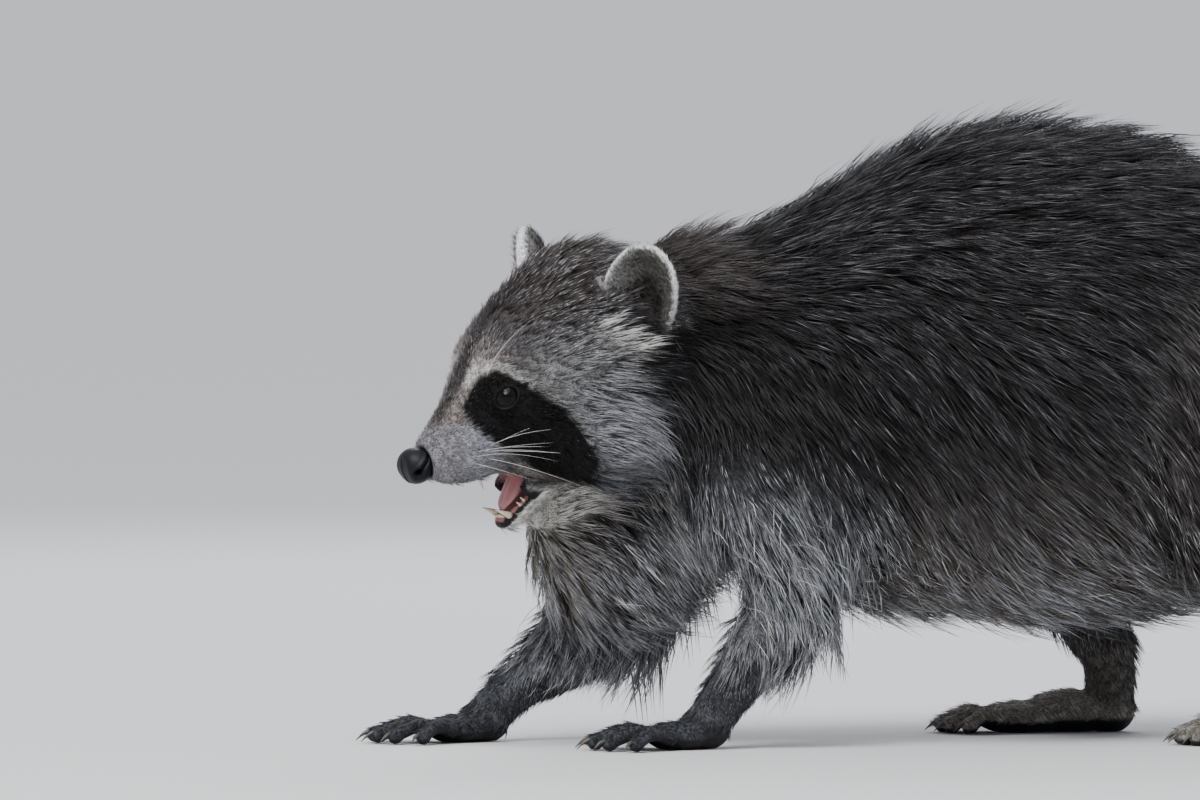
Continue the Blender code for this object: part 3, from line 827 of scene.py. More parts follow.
flows = {
    # region: the way the hair points on the back, and on the flank where that differs, in the plan
    "neck": ((0.95, 0, -0.25), (0.62, 0, -0.78)),
    "chest": ((1.0, 0, -0.05), (0.66, 0, -0.75)),
    "loin": ((1.0, 0, -0.05), (0.82, 0, -0.57)),
    "rump": ((0.95, 0, -0.25), (0.72, 0, -0.69)),
    "tail_1": ((0.85, 0.08, -0.52),),
    "tail_2": ((0.81, 0.20, -0.55),),
    "tail_3": ((0.88, 0.26, -0.40),),
    "tail_4": ((0.94, 0.32, -0.12),),
    "foreleg_left_upper": ((0.45, 0, -0.90), (0.42, 0, -0.91)),
    "foreleg_right_upper": ((0.30, 0, -0.95),),
    "foreleg_left_lower": ((-0.05, 0, -1.0),),
    "foreleg_right_lower": ((-0.40, 0, -0.92), (-0.35, 0, -0.94)),
    "hindleg_left_upper": ((0.40, 0, -0.91),),
    "hindleg_right_upper": ((0.20, 0, -0.98),),
    "hindleg_left_lower": ((0.35, 0, -0.94),),
    "hindleg_right_lower": ((0.25, 0, -0.97),),
    **{name: ((-1, 0, -0.1),) for name in paws},
}


def headFlow():
    # back over bridge and crown, back and down over muzzle and cheek, steeper in the ruff
    low = ease(-hz, -0.030, 0.010) * ease(hy, 0.006, 0.030)
    ruff = ease(hx, 0.080, 0.112) * ease(-hz, -0.020, 0.010)
    cheekSide = ease(hx, 0.072, 0.100) * ease(hy, 0.020, 0.036) * fade(hz, 0.040, 0.056)
    down = -0.15 - 0.45 * low - 0.45 * ruff - 0.42 * cheekSide
    out = 0.30 * ease(hx, 0.030, 0.070) * fade(hz, 0.040, 0.070)
    return np.stack([np.ones(len(hx)), np.sign(inHead[:, 1]) * out, down], axis=1) @ headTurnArray.T


def lieOfCoat():
    lateral = np.clip(normals[:, 1] ** 2 * 1.3, 0, 1)[:, None]
    ways = {name: np.array(way[0]) * (1 - lateral) + np.array(way[-1]) * lateral for name, way in flows.items()}
    ways["head"] = unit(headFlow())
    ways["lower_jaw"] = np.array([1.0, 0, -0.1]) @ headTurnArray.T
    for _, name, axes, p, _, _ in earReadings():
        ways[name] = unit(np.stack([0 * p[:, 0], p[:, 1], p[:, 2] + 0.004], axis=1)) @ axes.T
    total = np.zeros((len(points), 3))
    for name, way in ways.items():
        total += weights[:, [regionNames.index(name)]] * way
    total += 0.16 * ripple(points, 0.055, 5) + 0.13 * ripple(points, 0.018, 6)
    total -= normals * (total * normals).sum(1, keepdims=True)
    total = spreadOut(unit(total), skinEdges, 12)
    total -= normals * (total * normals).sum(1, keepdims=True)
    return unit(total)


def eyeDistance():
    # 0 at the edge of the opening, -1 at its middle, 1 and more away from it
    found = np.full(len(points), 1.0)
    for side in (-1, 1):
        p = inAxes(eyeAxes(side), points)
        almond = np.hypot(p[:, 1] / eyeShape["openingWide"], p[:, 2] / eyeShape["openingHigh"])
        here = (p[:, 0] > -0.002) & (np.linalg.norm(p, axis=1) < 0.02)
        found = np.where(here, np.minimum(found, almond - 1), found)
    return found


def lengthOfCoat():
    length = coatValues(weights, "length")
    onHead = readTable(
        hx, (0.010, 0.0028), (0.035, 0.0042), (0.052, 0.0055), (0.070, 0.0090), (0.095, 0.0130), (0.135, 0.0210),
    )
    ruff = ease(hx, 0.068, 0.100) * ease(hy, 0.018, 0.042) * ease(-hz, -0.030, 0.004)
    throat = ease(hx, 0.060, 0.085) * ease(-hz, 0.022, 0.042)
    onHead = onHead + (0.025 - onHead) * np.maximum(ruff, throat * 0.75)
    length = length + share("head") * (onHead - coats["head"]["length"])
    feather = onForelegs * ease(height, 0.030, 0.050) * ease(normals[:, 0], -0.30, 0.60)
    length += 0.014 * feather
    length *= 1 - 0.70 * onForelegs * fade(height, 0.026, 0.040)
    length *= 1 - 0.55 * onHindlegs * fade(height, 0.030, 0.055)
    length += 0.009 * (onBody * ease(-upward, 0.05, 0.70))
    for _, _, _, _, reach, close in earReadings():
        length -= 0.0020 * onEars * ease(reach, 0.80, 0.95) * close
    length *= 1 - 0.35 * ease(inPlan[:, 0], 0.595, 0.630)
    return length * (1 + 0.10 * ripple(points, 0.045, 9)[:, 0])


def lipBand():
    # the bare black lip of the lower jaw, up to the corner of the mouth
    lower = share("lower") * ease(inJaw[:, 2], -0.0046, -0.0034) * fade(inJaw[:, 0], 0.036, 0.042)
    fold = near([(0.0500, 0.0125, -0.0262), (0.0496, 0.0125, -0.0292), (0.0508, 0.0125, -0.0325)], 0.0048)
    return np.maximum(lower, ease(fold, 0.30, 0.65) * (hx < 0.0530) * (hy > 0.0120))


def insideOfMouth():
    along = ease(hx, 0.016, 0.020) * fade(hx, 0.060, 0.064)
    across = fade(hy / readTable(hx, *lipWidth), 0.72, 0.86)
    upper = along * (upward < 0.25) * across * (hz < 0) * (hz > -0.034) * share("head")
    x, y, z = folded(inJaw)
    inner = readTable(x, (0, 0.0042), (0.011, 0.0078), (0.032, 0.0130), (0.045, 0.0150))
    lower = (y < inner) * (z > -0.0062) * (z < 0.012) * (x > 0.0012) * (x < 0.040)
    return np.clip(np.maximum(upper, lower * 1.0), 0, 1)


def hollowOfEars():
    halfWidth, found = earShape["halfWidth"] - 0.0035, np.zeros(len(points))
    for side, _, axes, p, _, _ in earReadings():
        inner = (p[:, 0] < 0.0055) & (p[:, 0] > -0.008)
        halfHeight = earAxes(side)[1] - 0.0060
        reach = np.hypot((p[:, 1] + side * 0.0022) / halfWidth, (p[:, 2] + 0.0035) / halfHeight)
        found = np.maximum(found, inner * fade(reach, 0.48, 0.84) * ease(normals @ axes[:, 0], -0.1, 0.3))
    return found


def coverOfCoat():
    # bare: lids, nose bed, lips and mouth, soles, deep in the ears
    cover = ease(eyeDistance(), 0.06, 0.17)
    cover *= ease(np.linalg.norm(inHead - np.array(headPose["noseCentre"]), axis=1), 0.0092, 0.0104)
    cover *= 1 - mouthInside
    cover *= 1 - lipBand()
    cover *= 1 - share("forepaw", "hindpaw") * ease(-upward, 0.15, 0.50)
    cover *= 1 - 0.45 * earHollow
    return cover


mouthInside = insideOfMouth()
earHollow = hollowOfEars()
lie = lieOfCoat()
furLength = lengthOfCoat()
furCover = coverOfCoat()
furLift = np.radians(coatValues(weights, "lift"))
print("coat fields: length", furLength.min().round(4), "to", furLength.max().round(4))

# markings
tones = {
    "white": (0.74, 0.72, 0.69),
    "silver": (0.37, 0.37, 0.365),
    "greyBrown": (0.105, 0.096, 0.090),
    "brown": (0.060, 0.046, 0.036),
    "blackBrown": (0.0275, 0.0250, 0.0265),
    "black": (0.0045, 0.0042, 0.0048),
    "slate": (0.045, 0.047, 0.0535),
    "lowFlank": (0.108, 0.108, 0.120),
    "belly": (0.16, 0.145, 0.128),
    "nape": (0.098, 0.082, 0.074),
    "foreleg": (0.26, 0.266, 0.285),
    "hock": (0.15, 0.138, 0.126),
    "hindpaw": (0.26, 0.24, 0.216),
    "tail": (0.215, 0.190, 0.160),
    "breast": (0.36, 0.33, 0.29),
    # painted shadow for the recess under the chest, between the forelegs
    "paintedBreastShadow": (0.040, 0.031, 0.026),
    "head": (0.098, 0.092, 0.094),
    "crown": (0.062, 0.049, 0.042),
    "cheek": (0.285, 0.290, 0.318),
    "muzzle": (0.295, 0.290, 0.318),
    "muzzleTip": (0.15, 0.14, 0.14),
    "bridge": (0.245, 0.208, 0.192),
    "brow": (0.56, 0.545, 0.53),
    "underMask": (0.36, 0.32, 0.28),
    "throat": (0.70, 0.67, 0.62),
    "chin": (0.72, 0.70, 0.68),
    "ear": (0.105, 0.100, 0.090),
    "earFront": (0.24, 0.235, 0.23),
    # dark inside of the ear, painted darker still as the shade deep in its hollow
    "earHollow": (0.016, 0.014, 0.013),
    "earRim": (0.95, 0.95, 0.96),
    "bandOnBack": (0.235, 0.222, 0.240),
    "bandOnLegs": (0.62, 0.635, 0.67),
    "bandOnHead": (0.585, 0.595, 0.635),
    "bandOnFlank": (0.66, 0.675, 0.73),
    "wispTip": (0.80, 0.785, 0.75),
    "leather": (0.0085, 0.0078, 0.0085),
    "lid": (0.0045, 0.0038, 0.0038),
    "gum": (0.34, 0.145, 0.15),
    "earSkin": (0.022, 0.017, 0.016),
}


def allOver(tone):
    return np.zeros((len(points), 3)) + np.array(tones[tone])


def paint(field, amount, tone):
    amount = np.clip(amount, 0, 1)[:, None]
    return field * (1 - amount) + np.array(tones[tone]) * amount


headShare = np.clip(share("head") + share("lower"), 0, 1)
wobble = ripple(points, 0.012, 21)
broad = ripple(points, 0.050, 22)
edge = 0.0012 * wobble[:, 0]

# the mask's upper and lower edge: back from the nose tip, up
maskTop = edge + readTable(
    hx, (0.030, 0.015), (0.036, 0.0210), (0.044, 0.0290), (0.049, 0.0298), (0.060, 0.0172), (0.068, 0.004),
    (0.0725, -0.014), (0.083, -0.032),
)
maskBottom = edge + readTable(
    hx, (0.030, 0.014), (0.036, 0.002), (0.045, -0.0080), (0.0535, -0.0175), (0.069, -0.030), (0.083, -0.040),
)
maskHigh = maskTop - hz
maskLow = hz - maskBottom
mask = ease(maskHigh, -0.0008, 0.0012) * ease(maskLow, -0.0008, 0.0014)
mask = mask * ease(hx, 0.029, 0.034) * fade(hx + edge, 0.0715, 0.0750) * ease(hy, 0.0045, 0.0085)
brow = ease(-maskHigh, 0.0002, 0.0018) * fade(-maskHigh, 0.0028, 0.0072)
brow = brow * ease(hx, 0.034, 0.040) * ease(hy, 0.0050, 0.0085)
midline = fade(hy + edge, 0.0030, 0.0062) * ease(hz, 0.000, 0.006) * ease(hx, 0.016, 0.026) * fade(hx, 0.066, 0.080)

# spots in the head's axes, for both sides
earPatch = (
    (0.113, 0.053, 0.020), (0.124, 0.050, 0.018), (0.137, 0.047, 0.018), (0.150, 0.049, 0.014),
    (0.121, 0.054, -0.002), (0.136, 0.055, -0.010), (0.128, 0.058, 0.006), (0.148, 0.058, -0.006),
    (0.112, 0.054, 0.012), (0.150, 0.058, -0.022),
)
earTuft = ((0.094, 0.044, 0.036), (0.098, 0.047, 0.031), (0.102, 0.050, 0.026))
mouthCorner = (
    (0.064, 0.014, -0.029), (0.070, 0.016, -0.034), (0.074, 0.018, -0.0395), (0.080, 0.020, -0.043),
    (0.088, 0.024, -0.043),
)
tailRing = {"first": 0.436, "spacing": 0.0425}


def tailRings():
    along = inPlan[:, 0] + 0.0025 * wobble[:, 1]
    rings = 0.5 + 0.5 * np.cos((along - tailRing["first"]) / tailRing["spacing"] * 2 * np.pi)
    dark = ease(rings, 0.44, 0.60)
    return np.maximum(dark * ease(along, 0.410, 0.425), ease(along, 0.598, 0.612)) * onTail


def bodyMarkings():
    lowFlank = onTrunk * fade(height + 0.010 * broad[:, 0], 0.060, 0.135)
    main = paint(allOver("blackBrown"), 0.58 * lowFlank, "lowFlank")
    main = paint(main, 0.80 * ease(-upward, 0.05, 0.80) * onTrunk, "belly")
    main = paint(main, 0.75 * onNeck * ease(upward, 0.2, 0.9), "nape")
    pale = 0.85 - 0.85 * ease(height + 0.010 * broad[:, 1], 0.082, 0.140)
    main = paint(main, onForelegs * pale, "foreleg")
    main = paint(main, onHindlegs * 0.60, "greyBrown")
    main = paint(main, onHindlegs * fade(height, 0.030, 0.075), "hock")
    slate = onForelegs * fade(height + 0.006 * wobble[:, 1], 0.028, 0.040)
    main = paint(main, np.maximum(slate, share("forepaw")), "slate")
    main = paint(main, share("hindpaw"), "hindpaw")
    main = paint(main, onTail, "tail")
    main = paint(main, tailRings(), "blackBrown")
    ahead = inPlan[:, 0] + 0.5 * abs(normals[:, 1]) * 0.02
    front = onShoulders * fade(ahead, -0.030, 0.004) * fade(height, 0.110, 0.135)
    main = paint(main, 0.80 * front, "breast")
    # painted shadow: the recess under the chest, between the forelegs, is darkened
    recessShadow = onShoulders * band(inPlan[:, 0], 0.000, 0.050, 0.018) * fade(height, 0.080, 0.115)
    main = paint(main, 0.85 * recessShadow, "paintedBreastShadow")
    ruff = onShoulders * band(hx, 0.100, 0.140, 0.030) * band(hz, -0.085, -0.018, 0.020) * ease(hy, 0.020, 0.034)
    return paint(main, 0.70 * ruff, "silver")


def headMarkings():
    forehead = 0.45 * ease(hx, 0.052, 0.070) * fade(hx, 0.100, 0.125) * fade(hz, 0.022, 0.042)
    main = paint(allOver("head"), forehead, "silver")
    main = paint(main, 0.75 * ease(hz, 0.036, 0.052) * ease(hx, 0.052, 0.064), "crown")
    cheek = ease(hx, 0.066, 0.076) * fade(hx, 0.120, 0.136) * fade(hz + 0.004 * wobble[:, 2], 0.000, 0.024)
    main = paint(main, 0.80 * (cheek * ease(hy, 0.020, 0.034)), "cheek")
    overMuzzle = hz + 0.13 * hx - 0.0125 + edge
    muzzle = fade(hx, 0.036, 0.046) * fade(overMuzzle, -0.002, 0.004)
    main = paint(main, muzzle, "muzzle")
    main = paint(main, 0.5 * muzzle * fade(hx + edge, 0.018, 0.030), "muzzleTip")
    main = paint(main, 0.90 * (fade(hx, 0.045, 0.060) * ease(overMuzzle, -0.002, 0.004)), "bridge")
    main = paint(main, 0.88 * midline, "blackBrown")
    main = paint(main, brow * (0.10 + 0.75 * fade(hx, 0.046, 0.074)), "brow")
    main = paint(main, mask, "black")
    under = ease(-maskLow, 0.0005, 0.0025) * fade(-maskLow, 0.006, 0.010)
    under = under * ease(hx, 0.044, 0.052) * fade(hx, 0.068, 0.078) * ease(hy, 0.012, 0.018)
    main = paint(main, 0.75 * under, "underMask")
    main = paint(main, 0.85 * near(mouthCorner, 0.0105), "brown")
    throat = ease(-hz, 0.028, 0.036) * ease(hx, 0.046, 0.054) * fade(hy, 0.014, 0.024)
    main = paint(main, throat * (1 - 0.7 * ease(hx, 0.085, 0.115)), "throat")
    return paint(main, 0.95 * share("lower"), "chin")


def coatMarkings():
    blend = headShare[:, None]
    main = bodyMarkings() * (1 - blend) + headMarkings() * blend
    # dark patch behind and below each ear, white tuft at its front
    main = paint(main, 0.95 * near(earPatch, 0.024) * np.clip(share("head", "neck"), 0, 1), "black")
    main = paint(main, 0.72 * near(earTuft, 0.0072) * share("head"), "white")
    # ears: dark hollow, darkened further as painted shade, white rim, brown back
    rim, behind, front = np.zeros((3, len(points)))
    for side, _, axes, p, reach, close in earReadings():
        rim = np.maximum(rim, ease(reach, 0.895, 0.935) * close)
        front = np.maximum(front, ease(side * p[:, 1], 0.002, 0.013) * close)
        facing = normals @ axes[:, 0]
        behind = np.maximum(behind, fade(facing, -0.7, -0.1) * fade(reach, 0.55, 0.80) * close)
    main = paint(main, onEars, "ear")
    main = paint(main, 0.8 * onEars * front, "earFront")
    # painted shade deep in the ear hollow, over its dark inside
    main = paint(main, onEars * earHollow, "earHollow")
    main = paint(main, onEars * behind, "brown")
    return paint(main, onEars * rim, "earRim")


def bandsOfHair():
    # how many hairs carry the pale band
    onArm = 0.62 - 0.45 * ease(height + 0.010 * broad[:, 1], 0.100, 0.165)
    onLegs = onForelegs * onArm + 0.35 * onHindlegs
    fleck = 0.34 * onBody + 0.34 * onNeck + 0.10 * onTail + onLegs
    fleck += 0.47 * onTrunk * fade(height + 0.012 * broad[:, 1], 0.065, 0.145)
    fleck += 0.12 * onTrunk * np.clip(broad[:, 2], 0, 1)
    onHead = 0.25 + 0.35 * ease(hx, 0.060, 0.080) + 0.30 * ease(hx, 0.070, 0.100) * fade(hz, 0.0, 0.03)
    onHead -= 0.20 * ease(hz, 0.035, 0.050)
    fleck += headShare * onHead * (1 - 0.98 * mask)
    fleck += 0.48 * onShoulders * band(hx, 0.100, 0.158, 0.035) * band(hz, -0.090, -0.022, 0.020)
    fleck *= 1 - 0.7 * onEars
    fleck *= 1 - 0.92 * near(earPatch, 0.027)
    return np.clip(fleck, 0, 1)


def bandColour():
    onLegs = share("foreleg", "hindleg") * fade(height, 0.110, 0.170)
    colour = paint(allOver("bandOnBack"), onLegs, "bandOnLegs")
    colour = paint(colour, headShare, "bandOnHead")
    low = onTrunk * fade(height, 0.070, 0.150)
    ruff = onShoulders * band(hx, 0.100, 0.150, 0.035) * band(hz, -0.090, -0.018, 0.020)
    return paint(colour, np.maximum(low, ruff), "bandOnFlank")


coatColour = coatMarkings()
tipColour = bandColour()
fleck = bandsOfHair()
print("markings done")

# unwrap of the skin
def ownAxes(places):
    # axes whose x runs along the longest way through these points
    middle = places.mean(0)
    along = np.linalg.svd(places - middle, full_matrices=False)[2][0]
    turned = Vector(along).to_track_quat("X", "Z").to_matrix().to_4x4()
    return Matrix.Translation(Vector(middle)) @ turned


def chartOf(places, corners, axes, flat):
    # corner places on a chart, in metres; round charts unroll about the x axis
    p = inAxes(axes, places)[corners]
    if flat:
        return np.stack([p[..., 1], p[..., 0]], axis=-1)
    radius = np.hypot(p[..., 1], p[..., 2]).mean()
    angle = np.arctan2(p[..., 1], p[..., 2])
    wide = angle.max(1) - angle.min(1) > np.pi
    angle = np.where(wide[:, None] & (angle < 0), angle + 2 * np.pi, angle)
    return np.stack([angle * radius, p[..., 0]], axis=-1)


unwrapped = {"gap": 0.008, "slack": 1.06, "headDrop": -0.004}


def chartGroups(places):
    # faces, the axes they unroll about, and whether they lie flat instead
    faceNormals = unit(normals[corners].mean(1))
    region = np.array(regionNames)[faceRegion]
    kind = np.array(kinds)[faceRegion]

    def spotsOf(chosen):
        return places[corners[chosen]].reshape(-1, 3)

    def bothFaces(chosen, axes, outward):
        facing = faceNormals @ np.array(outward) > 0
        return [(chosen & facing, axes, True), (chosen & ~facing, axes, True)]

    trunk = np.isin(kind, ("neck", "chest", "loin", "rump"))
    groups = [(trunk, Matrix.Translation(Vector(spotsOf(trunk).mean(0))), False)]
    groups.append((kind == "head", head @ Matrix.Translation((0, 0, unwrapped["headDrop"])), False))
    groups.append((kind == "tail", ownAxes(spotsOf(kind == "tail")), False))
    groups += bothFaces(kind == "lower", jaw, np.array(jaw)[:3, 2])
    for side, name in ((-1, "ear_left"), (1, "ear_right")):
        place = earAxes(side)[0]
        groups += bothFaces(region == name, place @ turn(90, "Y"), np.array(place)[:3, 0])
    for name in regionNames:
        if "leg" in name:
            groups.append((region == name, ownAxes(spotsOf(region == name)), False))
        elif "paw" in name:
            groups += bothFaces(region == name, pawPlace(name)[0], (0, 0, 1))
    return groups


def unwrap():
    # charts in metres, packed on shelves, then brought to one sheet
    places = coordsOf(skin.data)
    charts = []
    for chosen, axes, flat in chartGroups(places):
        if chosen.any():
            uv = chartOf(places, corners[chosen], axes, flat)
            low = uv.reshape(-1, 2).min(0)
            charts.append((chosen, uv - low, uv.reshape(-1, 2).max(0) - low))
    charts.sort(key=lambda chart: -chart[2][1])
    gap = unwrapped["gap"]
    sheet = math.sqrt(sum((size[0] + gap) * (size[1] + gap) for _, _, size in charts)) * unwrapped["slack"]
    sheet = max(sheet, max(size[0] for _, _, size in charts) + 2 * gap)
    left, bottom, shelf = gap, gap, 0.0
    found = np.zeros((len(corners), 3, 2))
    for chosen, uv, size in charts:
        if left + size[0] + gap > sheet:
            left, bottom, shelf = gap, bottom + shelf + gap, 0.0
        found[chosen] = uv + (left, bottom)
        left += size[0] + gap
        shelf = max(shelf, size[1])
    extent = max(sheet, bottom + shelf + gap)
    print("unwrap: sheet", round(extent, 3), "m,", len(charts), "charts")
    return found / extent


edited(skin, lambda bm: bmesh.ops.triangulate(bm, faces=bm.faces))
corners = trianglesOf(skin.data)
faceRegion = weights[corners].mean(1).argmax(1)
rootUv = unwrap()
skin.data.uv_layers.new(name="OFBake").data.foreach_set("uv", rootUv.astype(np.float32).ravel())

# pieces of the coat
coatPieces = {
    # piece: locks, layers of cover, slot, look
    "coatFace": ("short", 4.6, "head_coat", "furFace"),
    "coatCrown": ("mid", 5.9, "head_coat", "furHead"),
    "coatCheeks": ("long", 13.0, "head_coat", "furHead"),
    "coatEars": ("short", 5.4, "ear", "furEars"),
    "coatNeck": ("long", 12.5, "neck_coat", "furBody"),
    "coatChestLeft": ("long", 12.5, "body_coat", "furBody"),
    "coatChestRight": ("long", 9.8, "body_coat", "furBody"),
    "coatLoinLeft": ("long", 12.0, "body_coat", "furBody"),
    "coatLoinRight": ("long", 9.8, "body_coat", "furBody"),
    "coatRump": ("long", 9.0, "body_coat", "furBody"),
    "coatForelegs": ("mid", 7.2, "leg_coat", "furLegs"),
    "coatWrists": ("short", 3.4, "leg_coat", "furPaws"),
    "coatHindlegs": ("mid", 4.8, "leg_coat", "furLegs"),
    "coatHocks": ("short", 5.4, "leg_coat", "furPaws"),
    "coatPaws": ("short", 2.6, "forepaw", "furPaws"),
    "coatTail": ("long", 5.3, "tail_coat", "furTail"),
}
pieceNames = list(coatPieces)
hairBreaks = {"face": 0.0075, "crown": 0.0165, "legs": 0.0125}  # hair lengths where one piece gives way to the next


def pieceOfFaces():
    hair = furLength[corners].mean(1)
    left = points[corners].mean(1)[:, 1] < 0
    kind = np.array(kinds)[faceRegion]
    onHead = np.isin(kind, ("head", "lower"))
    onFace, onCrown, onLegs = (hair < hairBreaks[key] for key in ("face", "crown", "legs"))
    chosen = {
        "coatFace": onHead & onFace,
        "coatCrown": onHead & ~onFace & onCrown,
        "coatCheeks": onHead & ~onCrown,
        "coatEars": kind == "ear",
        "coatNeck": kind == "neck",
        "coatChestLeft": (kind == "chest") & left,
        "coatChestRight": (kind == "chest") & ~left,
        "coatLoinLeft": (kind == "loin") & left,
        "coatLoinRight": (kind == "loin") & ~left,
        "coatRump": kind == "rump",
        "coatForelegs": (kind == "foreleg") & ~onLegs,
        "coatWrists": (kind == "foreleg") & onLegs,
        "coatHindlegs": (kind == "hindleg") & ~onLegs,
        "coatHocks": (kind == "hindleg") & onLegs,
        "coatPaws": np.isin(kind, ("forepaw", "hindpaw")),
        "coatTail": kind == "tail",
    }
    return np.sum([chosen[name] * number for number, name in enumerate(pieceNames)], axis=0)


# each lock is one unit long; spread is how far its roots lie apart
lockFamilies = {
    "short": {
        "shapes": 8, "strands": 9, "rings": 1, "spread": 0.50, "stagger": 0.70, "shortest": 0.60,
        "halfWidth": 0.027, "bow": 0.03, "wave": 0.04, "gather": 0.10,
    },
    "mid": {
        "shapes": 8, "strands": 8, "rings": 2, "spread": 0.26, "stagger": 0.55, "shortest": 0.60,
        "halfWidth": 0.0145, "bow": 0.05, "wave": 0.05, "gather": 0.30,
    },
    "wisp": {
        "shapes": 10, "strands": 4, "rings": 6, "spread": 0.070, "stagger": 0.50, "shortest": 0.60,
        "halfWidth": 0.0052, "bow": 0.10, "wave": 0.100, "gather": 0.50,
    },
    "long": {
        "shapes": 10, "strands": 10, "rings": 2, "spread": 0.150, "stagger": 0.50, "shortest": 0.58,
        "halfWidth": 0.0070, "bow": 0.05, "wave": 0.040, "gather": 0.32,
    },
}


def strand(rng, family):
    # the middles of one strand's rings and their widths, in units of its length
    rings, half = family["rings"], family["halfWidth"]
    x, y, z = rng.uniform(-0.5, 0.5) * family["stagger"], rng.uniform(-0.5, 0.5) * family["spread"], -0.02
    length = rng.uniform(family["shortest"], 1.0)
    sway = rng.normal(0, family["wave"])
    curl = rng.uniform(2.2, 3.0) if rings < 4 else rng.uniform(3.0, 7.0)
    bow = family["bow"] * rng.uniform(0.4, 1.6)
    places, widths = [], []
    for t in [i / rings for i in range(rings + 1)]:
        aside = y * (1 - family["gather"] * t) + sway * math.sin(curl * t)
        above = z + bow * math.sin(math.pi * min(t * 1.1, 1)) - 0.9 * bow * t * t
        places.append(np.array([x + t * length, aside, above]))
        widths.append(half * rng.uniform(0.85, 1.15) * (1 - 0.55 * t**1.5))
    return places, widths


def lockMesh(name, rng, family):
    # strands of three sides that end in a point
    verts, faces, along, seeds, patch = [], [], [], [], []
    count = family["strands"]
    for k in range(count):
        places, widths = strand(rng, family)
        seed = rng.uniform()
        first, last = len(verts), len(places) - 1
        for i, (place, width) in enumerate(zip(places, widths)):
            for j in range(1 if i == last else 3):
                angle = 2 * math.pi * j / 3 + 0.5
                offset = np.array([0, math.cos(angle), 0.75 * math.sin(angle)]) * width * (i < last)
                verts.append(place + offset)
                along.append(i / last)
                seeds.append(seed)
                patch.append(((k + 0.2 + 0.3 * j) / count, i / last, 0))
        for i in range(last):
            a, b = first + 3 * i, first + 3 * (i + 1)
            for j in range(3):
                n = (j + 1) % 3
                if i + 1 == last:
                    faces.append((a + j, a + n, b))
                else:
                    faces += [(a + j, a + n, b + n), (a + j, b + n, b + j)]
        faces.append((first, first + 2, first + 1))
    mesh = bpy.data.meshes.new(name)
    mesh.from_pydata([tuple(v) for v in verts], [], faces)
    mesh.update()
    made = edited(link(name, mesh), lambda bm: bmesh.ops.recalc_face_normals(bm, faces=bm.faces))
    store(made.data, "along", along)
    store(made.data, "strandSeed", seeds)
    store(made.data, "tuftUv", patch)
    return smoothShaded(made)


def makeLocks():
    found = {}
    for number, (key, family) in enumerate(lockFamilies.items()):
        rng = np.random.default_rng(100 + number)
        found[key] = bpy.data.collections.new("locks_" + key)
        for i in range(family["shapes"]):
            made = lockMesh(f"{key}Lock{i}", rng, family)
            bpy.context.scene.collection.objects.unlink(made)
            found[key].objects.link(made)
    return found


# fur tree
# what the tree can be given, and the value where a piece says nothing else
furInputs = (
    ("Locks", "NodeSocketCollection", None),
    ("Part", "NodeSocketInt", 0),
    ("Density", "NodeSocketFloat", 10000.0),
    ("Spacing", "NodeSocketFloat", 0.001),
    ("Turn", "NodeSocketFloat", 0.20),
    ("Rise", "NodeSocketFloat", 0.30),
    ("Shortest", "NodeSocketFloat", 0.70),
    ("Longest", "NodeSocketFloat", 1.14),
    ("Patch", "NodeSocketFloat", 0.003),
    ("Seed", "NodeSocketInt", 0),
    ("Material", "NodeSocketMaterial", None),
)
furDefaults = {name: value for name, kind, value in furInputs}


class Tree:
    # a short way to place and join nodes
    def __init__(self, tree):
        self.tree = tree

    def feed(self, socket, value):
        if isinstance(value, bpy.types.NodeSocket):
            self.tree.links.new(value, socket)
        elif value is not None:
            socket.default_value = value

    def add(self, kind, values=(), **settings):
        made = self.tree.nodes.new(kind)
        for key, value in settings.items():
            setattr(made, key, value)
        for key, value in dict(values).items():
            self.feed(made.inputs[key], value)
        return made

    def math(self, operation, *values):
        return self.add("ShaderNodeMath", enumerate(values), operation=operation).outputs[0]

    def vector(self, operation, *values):
        return self.add("ShaderNodeVectorMath", enumerate(values), operation=operation).outputs[0]

    def scaled(self, vector, factor):
        return self.add("ShaderNodeVectorMath", {0: vector, "Scale": factor}, operation="SCALE").outputs[0]

    def named(self, name, kind):
        return self.add("GeometryNodeInputNamedAttribute", {"Name": name}, data_type=kind).outputs[0]

    def random(self, low, high, seed, kind="FLOAT"):
        made = self.add("FunctionNodeRandomValue", data_type=kind)
        ends = [socket for socket in made.inputs if socket.enabled and socket.name in ("Min", "Max")]
        self.feed(ends[0], low)
        self.feed(ends[1], high)
        self.feed(made.inputs["Seed"], seed)
        return [socket for socket in made.outputs if socket.enabled][0]

    def nth(self, seed, number):
        return self.math("ADD", seed, float(number))


